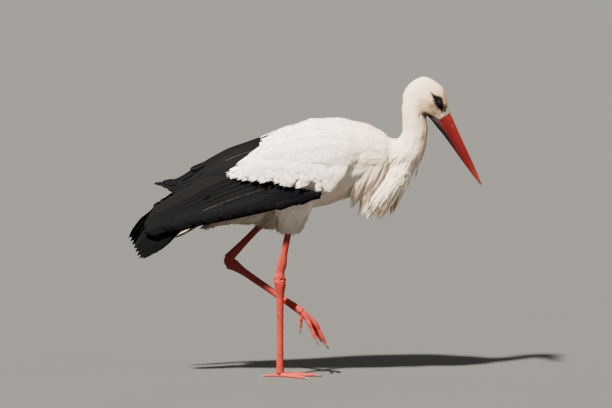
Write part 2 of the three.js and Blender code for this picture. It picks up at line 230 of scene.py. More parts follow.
@dataclass
class Tube:
    """A closed body swept along a smooth spine.

    Each station is a point of the spine and three half sizes: across the bird, then left and right of the
    spine's way as seen from the bird's right side.
    """

    stations: Sequence[Sequence[float]]
    sides: int = 24
    rings: int = 40
    blunt: tuple[float, float] = (0.12, 0.12)
    section: Callable[[Array, Array], tuple[Array, Array]] = lambda share, turn: (np.cos(turn), np.sin(turn))
    relief: Callable[[Array, Array], Array] = lambda share, turn: 0 * turn

    def place(self, share: Array, turn: Array) -> Array:
        """Points of the wall.

        Args:
            share: How far along the spine each is, from 0 to 1.
            turn: Its angle about the spine, a quarter turn being left.

        Returns:
            The points, in millimetres.
        """
        centre, side, left, size = self.frame(share)
        across, beside = self.section(share, turn)
        close = np.ones_like(share)
        for blunt, end in zip(self.blunt, (share, 1 - share)):
            if blunt:
                close *= np.sqrt(np.clip(1 - np.clip(1 - end / blunt, 0, 1) ** 2, 0, 1))
        relief = self.relief(share, turn)
        wide = (size[..., 0] + relief) * across * close
        deep = (np.where(beside > 0, size[..., 1], size[..., 2]) + relief) * beside * close
        return centre + wide[..., None] * side + deep[..., None] * left

    def frame(self, share: Array) -> tuple[Array, Array, Array, Array]:
        """The spine's points, its side and left directions and the half sizes at some shares."""
        rows = np.array([(*row, row[-1]) if len(row) == 5 else row for row in self.stations], float)
        spine, sizes = Path(rows[:, :3]), Path(rows[:, 3:])
        ahead = spine.ahead(share)
        side = flat_on(np.broadcast_to([0.0, 1.0, 0.0], ahead.shape), ahead)
        return spine.at(share), side, np.cross(ahead, side), sizes.at(share)

    def build(self, bm: bmesh.types.BMesh) -> None:
        """Adds the body to a bmesh, with a UV map "Wall" of turn and share."""
        made = bmesh.ops.create_grid(bm, x_segments=self.sides, y_segments=self.rings, size=1)["verts"]
        grid = np.array([vertex.co[:2] for vertex in made]) / 2 + 0.5
        even = grid[:, 1]
        share = np.where(max(self.blunt) > 0, 0.55 * even + 0.45 * (1 - np.cos(np.pi * even)) / 2, even)
        layer = bm.loops.layers.uv.get("Wall") or bm.loops.layers.uv.new("Wall")
        for vertex, (turn, along) in zip(made, grid):
            for loop in vertex.link_loops:
                loop[layer].uv = (turn, along)
        for vertex, point in zip(made, self.place(share, grid[:, 0] * 2 * math.pi)):
            vertex.co = point * MM
        bmesh.ops.remove_doubles(bm, verts=made, dist=1e-6)
        made = [vertex for vertex in made if vertex.is_valid]
        rims = [edge for edge in {e for v in made for e in v.link_edges} if edge.is_boundary]
        if rims:
            bmesh.ops.holes_fill(bm, edges=rims, sides=0)
        bmesh.ops.recalc_face_normals(bm, faces=list({f for v in made for f in v.link_faces}))


def fused(bm: bmesh.types.BMesh, voxel: float, rounds: int) -> bpy.types.Mesh:
    """Closes overlapping bodies into one even skin.

    Args:
        bm: The bodies, which are freed.
        voxel: The size of the new faces, in millimetres.
        rounds: How often the skin is smoothed.

    Returns:
        The mesh of the skin.
    """
    rough = bpy.data.objects.new("rough", mesh_of(bm, "rough"))
    bpy.context.scene.collection.objects.link(rough)
    close = rough.modifiers.new("Close", "REMESH")
    close.mode, close.voxel_size = "VOXEL", voxel * MM
    soften = rough.modifiers.new("Soften", "SMOOTH")
    soften.factor, soften.iterations = 0.5, rounds
    bpy.context.view_layer.update()
    mesh = bpy.data.meshes.new_from_object(rough.evaluated_get(bpy.context.evaluated_depsgraph_get()))
    bpy.data.objects.remove(rough)
    return mesh


def points_of(mesh: bpy.types.Mesh) -> tuple[Array, Array]:
    """A mesh's points in millimetres and its normals."""
    points, normals = np.zeros(len(mesh.vertices) * 3), np.zeros(len(mesh.vertices) * 3)
    mesh.vertices.foreach_get("co", points)
    mesh.vertex_normals.foreach_get("vector", normals)
    return points.reshape(-1, 3) / MM, normals.reshape(-1, 3)


def move_points(mesh: bpy.types.Mesh, points: Array) -> None:
    """Puts a mesh's points at places given in millimetres."""
    mesh.vertices.foreach_set("co", (points * MM).astype(np.float32).ravel())
    mesh.update()


# ---- shader nodes ---------------------------------------------------------------------------------


class Wire:
    """A value in a material that takes part in expressions."""

    def __init__(self, tree: "Tree", socket: bpy.types.NodeSocket) -> None:
        """Wraps a socket of one of the tree's nodes."""
        self.tree = tree
        self.socket = socket

    def _math(self, operation: str, *values: "Wire | float") -> "Wire":
        """The result of a Math node on some values."""
        node = self.tree.add("ShaderNodeMath", {"operation": operation}, dict(enumerate(values)))
        return Wire(self.tree, node.outputs[0])

    def __add__(self, other: "Wire | float") -> "Wire":
        """The sum."""
        return self._math("ADD", self, other)

    __radd__ = __add__

    def __sub__(self, other: "Wire | float") -> "Wire":
        """The difference."""
        return self._math("SUBTRACT", self, other)

    def __rsub__(self, other: float) -> "Wire":
        """The difference the other way round."""
        return self._math("SUBTRACT", other, self)

    def __mul__(self, other: "Wire | float") -> "Wire":
        """The product."""
        return self._math("MULTIPLY", self, other)

    __rmul__ = __mul__

    def __abs__(self) -> "Wire":
        """The size without its sign."""
        return self._math("ABSOLUTE", self)

    def sine(self) -> "Wire":
        """The sine."""
        return self._math("SINE", self)

    def over(self, other: "Wire | float") -> "Wire":
        """The larger of two."""
        return self._math("MAXIMUM", self, other)

    def under(self, other: "Wire | float") -> "Wire":
        """The smaller of two."""
        return self._math("MINIMUM", self, other)

    def eased(self, low: float, high: float) -> "Wire":
        """A smooth rise from 0 at low to 1 at high, or a fall where low is the larger."""
        rising = high > low
        ends = {"From Min": min(low, high), "From Max": max(low, high)}
        ends |= {"To Min": 0.0 if rising else 1.0, "To Max": 1.0 if rising else 0.0}
        settings = {"interpolation_type": "SMOOTHSTEP"}
        return Wire(self.tree, self.tree.add("ShaderNodeMapRange", settings, {"Value": self, **ends}).outputs[0])


class Tree:
    """The nodes of one material."""

    def __init__(self, name: str) -> None:
        """Starts a material with no nodes."""
        self.material = bpy.data.materials.new(name)
        self.material.use_nodes = True
        self.material.node_tree.nodes.clear()

    def add(
        self, kind: str, settings: dict[str, Any] | None = None, sockets: dict[str | int, Any] | None = None
    ) -> bpy.types.Node:
        """Adds a node.

        Args:
            kind: The node's type.
            settings: Its properties; "stops" are a colour ramp's places and colours.
            sockets: A value or a link for each socket that is set.

        Returns:
            The node.
        """
        node = self.material.node_tree.nodes.new(kind)
        for key, value in (settings or {}).items():
            if key == "stops":
                ramp = node.color_ramp
                while len(ramp.elements) < len(value):
                    ramp.elements.new(1.0)
                for element, (place, colour) in zip(ramp.elements, value):
                    element.position, element.color = place, colour
            else:
                setattr(node, key, value)
        for key, value in (sockets or {}).items():
            value = value.socket if isinstance(value, Wire) else value
            if isinstance(value, bpy.types.NodeSocket):
                self.material.node_tree.links.new(value, node.inputs[key])
            else:
                node.inputs[key].default_value = value
        return node

    def point(self) -> bpy.types.NodeSocket:
        """Object coordinates."""
        return self.add("ShaderNodeTexCoord").outputs["Object"]

    def attribute(self, name: str, output: str) -> bpy.types.NodeSocket:
        """A mesh attribute, as its "Vector" or its "Fac"."""
        return self.add("ShaderNodeAttribute", {"attribute_name": name}).outputs[output]

    def parts(self, vector: bpy.types.NodeSocket) -> tuple[Wire, Wire, Wire]:
        """The three numbers of a vector."""
        node = self.add("ShaderNodeSeparateXYZ", {}, {0: vector})
        return Wire(self, node.outputs[0]), Wire(self, node.outputs[1]), Wire(self, node.outputs[2])

    def vector(self, *numbers: Wire | float) -> bpy.types.NodeSocket:
        """A vector of three numbers."""
        return self.add("ShaderNodeCombineXYZ", {}, dict(enumerate(numbers))).outputs[0]

    def noise(self, vector: bpy.types.NodeSocket, scale: float, detail: float = 3.0) -> Wire:
        """A cloudy value from 0 to 1."""
        sockets = {"Vector": vector, "Scale": scale, "Detail": detail, "Roughness": 0.55}
        return Wire(self, self.add("ShaderNodeTexNoise", {}, sockets).outputs[0])

    def cells(self, vector: bpy.types.NodeSocket, scale: float, feature: str = "DISTANCE_TO_EDGE") -> Wire:
        """The distance to the edges of a field of cells."""
        node = self.add("ShaderNodeTexVoronoi", {"feature": feature}, {"Vector": vector, "Scale": scale})
        return Wire(self, node.outputs["Distance"])

    def mix(self, factor: Wire | float, first: Any, second: Any, blend: str = "MIX") -> bpy.types.NodeSocket:
        """A mix of two colours."""
        settings = {"data_type": "RGBA", "blend_type": blend}
        return self.add("ShaderNodeMix", settings, {0: factor, 6: first, 7: second}).outputs[2]

    def finish(
        self,
        colour: bpy.types.NodeSocket,
        roughness: Wire | float,
        height: Wire | None = None,
        relief: float = 0.2,
        **constants: Any,
    ) -> bpy.types.Material:
        """Ends the tree in a surface.

        Args:
            colour: The base colour.
            roughness: How dull the surface is.
            height: The height that the bump is read from, in units of relief.
            relief: The height that 1 stands for, in millimetres.
            **constants: Sockets of the surface that are the same all over, with _ for a space.

        Returns:
            The material.
        """
        sockets: dict[str | int, Any] = {"Base Color": colour, "Roughness": roughness}
        if height is not None:
            bump = self.add("ShaderNodeBump", {}, {"Strength": 1.0, "Distance": relief * MM, "Height": height})
            sockets["Normal"] = bump.outputs[0]
        sockets |= {key.replace("_", " "): value for key, value in constants.items()}
        surface = self.add("ShaderNodeBsdfPrincipled", {}, sockets)
        self.add("ShaderNodeOutputMaterial", {}, {"Surface": surface.outputs[0]})
        return self.material


# ---- finishes -------------------------------------------------------------------------------------


@dataclass(frozen=True)
class Markings:
    """The colours of the white plumage and where they lie, which the skin and the coat both wear, with painted shade
    under the body and about the jaw.
    """

    white: Colour = (0.91, 0.80, 0.685, 1)
    cream: Colour = (0.85, 0.60, 0.37, 1)
    cheek: Colour = (0.48, 0.31, 0.155, 1)
    tan: Colour = (0.20, 0.105, 0.050, 1)
    grey: Colour = (0.10, 0.082, 0.070, 1)
    bare: Colour = (0.0025, 0.0022, 0.0022, 1)
    # mouth: the dark maroon of the bare skin at the corner of the mouth and of the painted shade in the crease below
    # it.
    mouth: Colour = (0.022, 0.008, 0.006, 1)
    # vent: the dark warm brown of the painted shade under the belly, the vent and the thighs.
    vent: Colour = (0.235, 0.165, 0.092, 1)
    patch: tuple[tuple[float, float], tuple[float, float], float] = ((366.3, 635.2), (17.5, 9.6), -58.0)

    @staticmethod
    def spot(x: Wire, z: Wire, centre: tuple[float, float], radii: tuple[float, float], tilt: float) -> Wire:
        """A soft oval seen from the side.

        Args:
            x: The place along the bird, in metres.
            z: The height, in metres.
            centre: The oval's middle, in millimetres.
            radii: Its half length and half width, in millimetres.
            tilt: The angle of its length above straight ahead, in degrees.

        Returns:
            1 inside and 0 outside.
        """
        c, s = math.cos(math.radians(tilt)) / MM, math.sin(math.radians(tilt)) / MM
        ahead, up = x - centre[0] * MM, z - centre[1] * MM
        along = (ahead * c + up * s) * (1 / radii[0])
        across = (up * c - ahead * s) * (1 / radii[1])
        return (along * along + across * across).eased(1.5, 0.6)

    def colour(self, tree: Tree, point: bpy.types.NodeSocket) -> bpy.types.NodeSocket:
        """The plumage's colour.

        Args:
            tree: The material's nodes.
            point: The place on the bird, in metres.

        Returns:
            The colour.
        """
        x, y, z = tree.parts(point)
        out = abs(y).eased(0.010, 0.016)
        patches = tree.noise(point, 45)
        fine = tree.noise(point, 160)
        head = z.eased(0.50, 0.60) * x.eased(0.24, 0.30)
        front = x.eased(0.10, 0.22) * z.eased(0.46, 0.52) * 0.7
        shown = tree.mix(head.over(front) * (0.5 + patches * 0.6), self.white, self.cream)
        breast = z.eased(0.50, 0.42) * x.eased(0.08, 0.16) + patches.eased(0.55, 0.75) * 0.35
        shown = tree.mix(breast.under(1.0) * 0.55, shown, self.cream)
        # The lower head and the cheek under the eye patch are browner: partly the plumage's own buff staining, partly
        # painted shade under the patch and along the jaw.
        jowl = self.spot(x, z, (340, 629), (27, 13), -28) * out
        shown = tree.mix(jowl * (0.35 + fine * 0.6), shown, self.cheek)
        cheek = self.spot(x, z, (357, 619), (20, 7.5), -46) * out
        shown = tree.mix(cheek * (0.25 + fine * 0.95), shown, self.tan)
        # The crease where the lower head meets the neck is painted dark: partly the bare skin at the corner of the
        # mouth, partly painted shade in the crease.
        gape_and_crease_shade = self.spot(x, z, (341, 610), (24, 3.4), -36)
        shown = tree.mix(gape_and_crease_shade * 0.9, shown, self.tan)
        corner = self.spot(x, z, (333, 612), (14, 3.0), -41)
        shown = tree.mix(corner * 0.9, shown, self.mouth)
        # Painted shade: below about 0.4 m the underside, from the belly back past the thighs to the vent, is mixed
        # towards the vent colour, most towards the back.
        low = z.eased(0.42, 0.35) * (x.eased(0.02, -0.04) * 0.35 + x.eased(0.10, 0.04) * 0.55)
        shown = tree.mix(low, shown, self.vent)
        lores = self.spot(x, z, (385, 616), (17, 6.5), -62) * abs(y).eased(0.004, 0.010)
        shown = tree.mix(lores * (0.45 + fine * 0.6), shown, self.grey)
        return tree.mix(self.bare_patch(x, z) * out, shown, self.bare)

    def bare_patch(self, x: Wire, z: Wire) -> Wire:
        """The black skin about the eye, which runs back and down in points."""
        centre, (half_length, half_width), tilt = self.patch
        middle = self.spot(x, z, centre, (half_length * 1.12, half_width * 1.16), tilt)
        behind = self.spot(x, z, (353.0, 652.8), (9.5, 2.0), -52)
        wedge = self.spot(x, z, (356.5, 648.0), (8, 4.6), -54)
        below = self.spot(x, z, (375, 616), (10, 4.6), -64)
        return middle.over(behind).over(wedge).over(below)


@dataclass(frozen=True)
class WhitePlumage:
    """The soft white coat, or the skin under it."""

    name: str
    markings: Markings = Markings()
    coat: bool = True
    shade: Colour = (0.86, 0.82, 0.78, 1)
    depths: Triple = (1.0, 0.85, 0.72)

    def make(self) -> bpy.types.Material:
        """Builds the material."""
        tree = Tree(self.name)
        if not self.coat:
            point = tree.point()
            colour = tree.mix(1.0, self.markings.colour(tree, point), self.shade, "MULTIPLY")
            return tree.finish(colour, 0.9, tree.noise(point, 900), 0.3, Specular_IOR_Level=0.08)
        tone = Wire(tree, tree.attribute("tone", "Fac"))
        colour = self.markings.colour(tree, tree.attribute("root", "Vector"))
        across, along, _ = tree.parts(tree.add("ShaderNodeUVMap", {"uv_map": "Vane"}).outputs[0])
        streak = tree.noise(tree.vector(across * 14, along * 1.6, tone * 30), 1.0, 2)
        shade = (0.84 + tone * 0.18) * (0.90 + streak * 0.14) * (1 - abs(across - 0.5) * 0.14)
        colour = tree.mix(1.0, colour, tree.vector(shade, shade, shade), "MULTIPLY")
        barbs = ((along * 60 - abs(across - 0.5) * 26) * 6.28).sine() * 0.35 + streak
        return tree.finish(
            colour, 0.72, barbs, 0.20, Subsurface_Weight=0.3, Subsurface_Scale=0.005, Subsurface_Radius=self.depths,
            Specular_IOR_Level=0.2,
        )


@dataclass(frozen=True)
class BlackPlumage:
    """The glossy black of the flight feathers, browner where they are worn."""

    name: str
    gloss: Colour = (0.0014, 0.0015, 0.0020, 1)
    dull: Colour = (0.0024, 0.0022, 0.0023, 1)
    worn: Colour = (0.0062, 0.0052, 0.0047, 1)
    # shaft: the pale streak along the shaft, partly its own colour and partly painted highlight.
    shaft: Colour = (0.040, 0.034, 0.028, 1)
    shine: float = 0.60
    wear: float = 0.5

    def make(self) -> bpy.types.Material:
        """Builds the material."""
        tree = Tree(self.name)
        tone = Wire(tree, tree.attribute("tone", "Fac"))
        quill = Wire(tree, tree.attribute("quill", "Fac"))
        across, along, _ = tree.parts(tree.add("ShaderNodeUVMap", {"uv_map": "Vane"}).outputs[0])
        out = abs(across - 0.5) * 2
        streak = tree.noise(tree.vector(across * 9, along * 40 - out * 12, tone * 30), 1.0, 3)
        edge = out.eased(0.80, 1.0).over(along.eased(0.93, 1.0))
        colour = tree.mix(tone, self.gloss, self.dull)
        colour = tree.mix(edge * streak.eased(0.35, 0.7) * self.wear, colour, self.worn)
        # A pale streak along the middle of the shaft: faint on every feather as the shaft's own colour, strong on a few
        # marked feathers, where it stands partly for a paler shaft and partly as a painted highlight.
        shown = out.eased(0.05, 0.02) * along.eased(0.75, 0.45) * streak.eased(0.35, 0.55)
        colour = tree.mix(quill * shown, colour, self.shaft)
        barbs = ((along * 120 - out * 20) * 6.28).sine() * 0.3 + streak
        roughness = self.shine - 0.06 + streak * 0.16 + edge * 0.15
        return tree.finish(colour, roughness, barbs, 0.16, Specular_IOR_Level=0.03)


@dataclass(frozen=True)
class WhiteVanes:
    """The tail feathers' white, with painted shade: darkened and warmed all over, and browner towards the tips."""

    name: str
    # Both colours are painted shade: the white is darkened and warmed as if in shadow, and the tips darker still.
    white: Colour = (0.58, 0.50, 0.39, 1)
    soiled: Colour = (0.34, 0.26, 0.17, 1)

    def make(self) -> bpy.types.Material:
        """Builds the material."""
        tree = Tree(self.name)
        across, along, _ = tree.parts(tree.add("ShaderNodeUVMap", {"uv_map": "Vane"}).outputs[0])
        out = abs(across - 0.5) * 2
        streak = tree.noise(tree.vector(across * 9, along * 40 - out * 12, 0.0), 1.0, 3)
        # Painted shade: the feathers darken towards their tips, broken up by the streaks.
        colour = tree.mix(along.eased(0.55, 1.0) * (0.3 + streak * 0.7), self.white, self.soiled)
        barbs = ((along * 120 - out * 20) * 6.28).sine() * 0.3 + streak
        return tree.finish(colour, 0.62, barbs, 0.16, Sheen_Weight=0.15)


@dataclass(frozen=True)
class BillHorn:
    """The bill's red horn, paler towards its tip, with painted light: lighter along its upper side and darker in
    painted shade along its lower side, most towards its root, where the lower edge is near black, partly its own dark
    skin and partly painted shade.
    """

    name: str
    red: Colour = (0.105, 0.0038, 0.0038, 1)
    # deep: the dark red of the grain, and the painted shade along the lower side.
    deep: Colour = (0.026, 0.0018, 0.0022, 1)
    # pale: the paler horn of the tip, and the painted highlight along the upper side.
    pale: Colour = (0.21, 0.013, 0.008, 1)
    # slit: a browner tone on the nostril, painted light showing in the slit.
    slit: Colour = (0.060, 0.016, 0.012, 1)
    # The near-black lower edge by the root: partly dark skin, partly painted shade.
    chin: Colour = (0.0065, 0.0030, 0.0032, 1)

    def make(self, bill: "Bill") -> bpy.types.Material:
        """Builds the material for a bill of the given shape."""
        tree = Tree(self.name)
        point = tree.point()
        x, y, z = tree.parts(point)
        ahead, up = bill.ahead, bill.up
        along = ((x - bill.base[0] * MM) * ahead[0] + (z - bill.base[2] * MM) * ahead[2]) * (1 / bill.length / MM)
        above = (x - bill.base[0] * MM) * up[0] + (z - bill.base[2] * MM) * up[2]
        grain = tree.noise(tree.vector(along * 7, y * 260, above * 260), 1.0, 4)
        clouds = tree.noise(point, 70)
        colour = tree.mix((clouds * 0.6 + grain * 0.5), self.deep, self.red)
        # Painted highlight: the upper side is lighter, as lit from above.
        colour = tree.mix(above.eased(0.004, 0.016) * 0.30, colour, self.pale)
        colour = tree.mix(along.eased(0.55, 1.0) * 0.5, colour, self.pale)
        # Painted shade: the lower side is darker, most towards the root.
        colour = tree.mix(above.eased(-0.003, -0.010) * along.eased(0.9, 0.2) * 0.6, colour, self.deep)
        # The lower edge near the root and the lower half's rear end go near black: partly the dark skin there, partly
        # painted shade.
        rim = (above * (1 / MM) + 19.5 - along * 19).eased(9.5, 5.0) * along.eased(0.60, 0.20)
        rim = rim.over(along.eased(0.07, -0.02) * above.eased(0.004, -0.004))
        colour = tree.mix(rim * 0.94, colour, self.chin)
        # Painted light in the nostril slit.
        nostril = Markings.spot(x, z, bill.nostril_place, (5.0, 1.2), bill.tilt)
        colour = tree.mix(nostril, colour, self.slit)
        height = grain * 0.8 + tree.noise(point, 600) * 0.3
        return tree.finish(colour, 0.34 + grain * 0.18 + rim * 0.25, height, 0.18, Specular_IOR_Level=0.16)


@dataclass(frozen=True)
class LegSkin:
    """The legs' scaly skin, with painted shade: a share of darker red all over, and more on the leg above a given
    height, where the body's shadow falls.
    """

    name: str
    red: Colour = (0.34, 0.016, 0.0085, 1)
    pale: Colour = (0.44, 0.040, 0.020, 1)
    deep: Colour = (0.085, 0.0050, 0.0038, 1)
    shade: float = 0.10
    # The height in metres above which the leg takes painted shade.
    dusk: float = 0.31

    def make(self) -> bpy.types.Material:
        """Builds the material."""
        tree = Tree(self.name)
        point = tree.point()
        x, y, z = tree.parts(point)
        scales = tree.cells(tree.vector(x, y, z * 0.6), 420)
        clouds = tree.noise(point, 60)
        crown = scales.eased(0.0, 0.12)
        colour = tree.mix(clouds, self.deep, self.red)
        # Painted shade: the leg darkens above that height, under the body.
        colour = tree.mix(z.eased(self.dusk - 0.02, self.dusk + 0.02) * 0.85, colour, self.deep)
        colour = tree.mix(self.shade, colour, self.deep)
        colour = tree.mix(crown * 0.25 * (1 - self.shade), colour, self.pale)
        colour = tree.mix((1 - crown) * 0.22, colour, self.deep)
        height = crown + tree.noise(point, 1500) * 0.25
        return tree.finish(colour, 0.46 + clouds * 0.2, height, 0.22, Specular_IOR_Level=0.25)


@dataclass(frozen=True)
class Horn:
    """Dark plain horn, as of claws."""

    name: str
    dark: Colour = (0.035, 0.024, 0.020, 1)
    pale: Colour = (0.12, 0.085, 0.065, 1)
    grain: float = 300

    def make(self) -> bpy.types.Material:
        """Builds the material."""
        tree = Tree(self.name)
        point = tree.point()
        clouds = tree.noise(point, self.grain, 4)
        return tree.finish(tree.mix(clouds, self.dark, self.pale), 0.35 + clouds * 0.2, clouds, 0.2)


@dataclass(frozen=True)
class EyeBall:
    """A dark brown iris about a black pupil, under a wet cornea."""

    name: str
    iris: Colour = (0.0070, 0.0036, 0.0024, 1)
    ring: Colour = (0.0026, 0.0018, 0.0015, 1)
    pupil: Colour = (0.0008, 0.0008, 0.0008, 1)

    def make(self, eye: "Eye") -> bpy.types.Material:
        """Builds the material for eyes of the given place and size."""
        tree = Tree(self.name)
        x, y, z = tree.parts(tree.point())
        across, up = x - eye.centre[0] * MM, z - eye.centre[2] * MM
        reach = (across * across + up * up) * (1 / MM**2)
        fibres = tree.noise(tree.vector(across * 900, up * 900, 0.0), 1.0, 4)
        colour = tree.mix(fibres, self.ring, self.iris)
        colour = tree.mix(reach.eased(22.0, 34.0), colour, self.ring)
        colour = tree.mix(reach.eased(13.0, 9.0), colour, self.pupil)
        return tree.finish(colour, 0.06 + fibres * 0.02, None, Specular_IOR_Level=0.2)


@dataclass(frozen=True)
class LidSkin:
    """The bare wrinkled skin about the eye."""

    name: str
    dark: Colour = (0.0014, 0.0013, 0.0013, 1)
    grey: Colour = (0.0038, 0.0034, 0.0033, 1)

    def make(self) -> bpy.types.Material:
        """Builds the material."""
        tree = Tree(self.name)
        point = tree.point()
        creases = tree.cells(point, 900)
        colour = tree.mix(creases.eased(0.0, 0.5), self.dark, self.grey)
        return tree.finish(colour, 0.6 + creases * 0.2, creases, 0.15, Specular_IOR_Level=0.04)


@dataclass(frozen=True)
class PlainFloor:
    """The studio floor."""

    name: str
    pale: Colour = (0.036, 0.036, 0.034, 1)
    dark: Colour = (0.032, 0.032, 0.030, 1)

    def make(self) -> bpy.types.Material:
        """Builds the material."""
        tree = Tree(self.name)
        clouds = tree.noise(tree.point(), 2.0)
        return tree.finish(tree.mix(clouds, self.pale, self.dark), 0.85 + clouds * 0.1)


# ---- bill and eyes --------------------------------------------------------------------------------


@dataclass
class Bill:
    """The long straight bill in its two halves."""

    base: Triple = (371, 0, 602)
    tip: Triple = (463, 0, 444)
    depth: float = 20.5
    gap: float = 0.5
    mouth_shift: Triple = (-1.8, 0, -1)
    mouth_turn: float = 1.2
    nostril: float = 0.155
    nostril_lift: float = 11.0
    nostril_length: float = 10.0
    upper_shares: tuple[float, ...] = (-0.12, 0.05, 0.35, 0.7, 1.0)
    jaw: tuple[tuple[float, ...], ...] = (
        (324, 0, 619, 4, 1, 1),
        (338.5, 0, 607.5, 8, 3, 2.8),
        (352.5, 0, 596.5, 11, 8, 5.4),
        (366, 0, 584, 12.5, 18, 8.5),
        (382.5, 0, 566.4, 12, 30, 9.8),
        (398, 0, 543.7, 10, 30, 8.8),
        (432.8, 0, 489.9, 6.5, 20, 5.6),
        (463, 0, 444, 1.6, 3, 1.8),
    )
    finish: BillHorn = BillHorn("bill_horn")

    def __post_init__(self) -> None:
        """Works out the bill's own directions."""
        run = np.subtract(self.tip, self.base)
        self.length = float(np.linalg.norm(run))
        self.ahead = run / self.length
        self.up = np.array([-self.ahead[2], 0, self.ahead[0]])
        self.tilt = math.degrees(math.atan2(run[2], run[0]))
        place = np.add(self.base, run * self.nostril) + self.up * self.nostril_lift
        self.nostril_place = (float(place[0]), float(place[2]))

    def at(self, share: float) -> Array:
        """A point of the line from base to tip."""
        return np.add(self.base, np.subtract(self.tip, self.base) * share)

    @staticmethod
    def section(share: Array, turn: Array) -> tuple[Array, Array]:
        """A section that narrows to a ridge above and is flatter below."""
        up = np.sin(turn)
        across = np.cos(turn) * (1 - 0.26 * np.clip(up, 0, 1) ** 2.5) * (1 - 0.10 * np.clip(-up, 0, 1) ** 3)
        return across, up

    def relief(self, share: Array, turn: Array) -> Array:
        """The nostril's slit, the groove ahead of it and the swelling along the mouth."""
        place = np.interp(share, np.linspace(0, 1, 5), self.upper_shares)
        along = (place - self.nostril) * self.length
        up = np.sin(turn)
        lift = up * np.interp(place, [0, 0.35, 0.7, 1], self.depth * np.array([1.02, 0.72, 0.42, 0.1]))
        slit = np.exp(-((along / (self.nostril_length * 0.5)) ** 4) - ((lift - self.nostril_lift) / 1.3) ** 2)
        groove = np.exp(-(((along - 26) / 34) ** 4) - ((lift - self.nostril_lift + 0.8) / 1.6) ** 2)
        rim = np.exp(-(((lift + 1.0) / 2.2) ** 2)) * np.clip(1 - share, 0, 1)
        return -1.7 * slit - 0.45 * groove + 0.35 * rim

    def build(self) -> None:
        """Makes the upper and lower halves."""
        first, *shares = self.upper_shares
        sizes = ((13.5, self.depth), (10, self.depth * 0.72), (6.5, self.depth * 0.42), (1.6, 1.8))
        body = [(*self.at(share), *size) for share, size in zip(shares, sizes)]
        angle = math.radians(-self.tilt - self.mouth_turn)
        normal = Vector((math.sin(angle), 0, math.cos(angle)))
        mouth = Vector((self.at(0.5) + self.mouth_shift) * MM)
        material = self.finish.make(self)
        halves = {"bill_upper": [(*self.at(first), 13, self.depth), *body], "bill_lower": self.jaw}
        for (name, stations), sign in zip(halves.items(), (1, -1)):
            bm = bmesh.new()
            tube = Tube(stations, sides=96, rings=150, blunt=(0, 0.012), section=self.section)
            if sign > 0:
                tube.relief = self.relief
            tube.build(bm)
            geometry = bm.verts[:] + bm.edges[:] + bm.faces[:]
            plane = mouth + normal * sign * self.gap / 2 * MM
            cut = bmesh.ops.bisect_plane(
                bm, geom=geometry, plane_co=plane, plane_no=normal * sign, clear_inner=True, dist=1e-7
            )["geom_cut"]
            rim = [edge for edge in cut if isinstance(edge, bmesh.types.BMEdge)]
            bmesh.ops.holes_fill(bm, edges=rim, sides=0)
            bmesh.ops.recalc_face_normals(bm, faces=bm.faces)
            bmesh.ops.bevel(
                bm,
                geom=rim,
                offset=0.5 * MM,
                offset_type="OFFSET",
                affect="EDGES",
                segments=2,
                profile=0.5,
                material=-1,
            )
            place_piece(name, mesh_of(bm, name), material, [name])


@dataclass
class Eye:
    """The two eyes in their lids."""

    centre: Triple = (366.5, 15.8, 634)
    radius: float = 8.6
    opening: float = 40.0
    narrowing: float = 7.0
    lid: float = 0.9
    ball: EyeBall = EyeBall("eye_ball")
    skin: LidSkin = LidSkin("lid_skin")

    def middle(self, side: Side) -> Array:
        """The centre of one eye."""
        return np.array([self.centre[0], side.value * self.centre[1], self.centre[2]])

    def build(self) -> None:
        """Makes both eyes."""
        ball, skin = self.ball.make(self), self.skin.make()
        for side in Side:
            self._ball(side, ball)
            self._lids(side, skin)

    def _ball(self, side: Side, material: bpy.types.Material) -> None:
        """Makes one eyeball, with its cornea a little proud."""
        bm = bmesh.new()
        turn = Matrix.Translation(Vector(self.middle(side) * MM)) @ Matrix.Rotation(math.pi / 2, 4, "X")
        bmesh.ops.create_uvsphere(bm, u_segments=48, v_segments=32, radius=self.radius * MM, matrix=turn)
        out = Vector((0.0, side.value, 0.0))
        for vertex in bm.verts:
            facing = (vertex.co - turn.translation).normalized().dot(out)
            vertex.co += out * 0.5 * MM * max(0.0, facing) ** 12
        name = f"eye_{side.word}"
        place_piece(name, mesh_of(bm, name), material, [name])

    def _lids(self, side: Side, material: bpy.types.Material) -> None:
        """Makes the thick rims about one eye, as a ring that rises over the ball and sinks into the face."""
        bm = bmesh.new()
        made = bmesh.ops.create_grid(bm, x_segments=64, y_segments=14, size=1)["verts"]
        grid = np.array([vertex.co[:2] for vertex in made]) / 2 + 0.5
        turn, step = grid[:, 0] * 2 * math.pi, grid[:, 1]
        wide = np.radians(self.opening - self.narrowing * np.abs(np.sin(turn + 0.5)) ** 1.5)
        slope = Path([(0, -0.5), (0, 0.35), (2.2, self.lid), (7, 1.05), (14, 0.7), (24, -0.2), (36, -2.2)])
        reach = slope.at(step)
        fold = 0.16 * np.sin(step * 34) * eased(step, 0.3, 0.5)
        away = wide + np.radians(reach[:, 0])
        radius = self.radius + reach[:, 1] + fold
        forward = np.array([0.12, side.value, 0.06])
        out = unit(forward)
        east = unit(np.cross([0, 0, 1], out))
        north = np.cross(out, east)
        ring = np.cos(turn)[:, None] * east + np.sin(turn)[:, None] * north
        points = self.middle(side) + radius[:, None] * (np.cos(away)[:, None] * out + np.sin(away)[:, None] * ring)
        for vertex, point in zip(made, points):
            vertex.co = point * MM
        bmesh.ops.remove_doubles(bm, verts=bm.verts, dist=1e-6)
        bmesh.ops.recalc_face_normals(bm, faces=bm.faces)
        outward = sum(face.normal.y * side.value for face in bm.faces)
        if outward < 0:
            bmesh.ops.reverse_faces(bm, faces=bm.faces)
        place_piece(f"lids_{side.word}", mesh_of(bm, "lids"), material)


# ---- legs -----------------------------------------------------------------------------------------


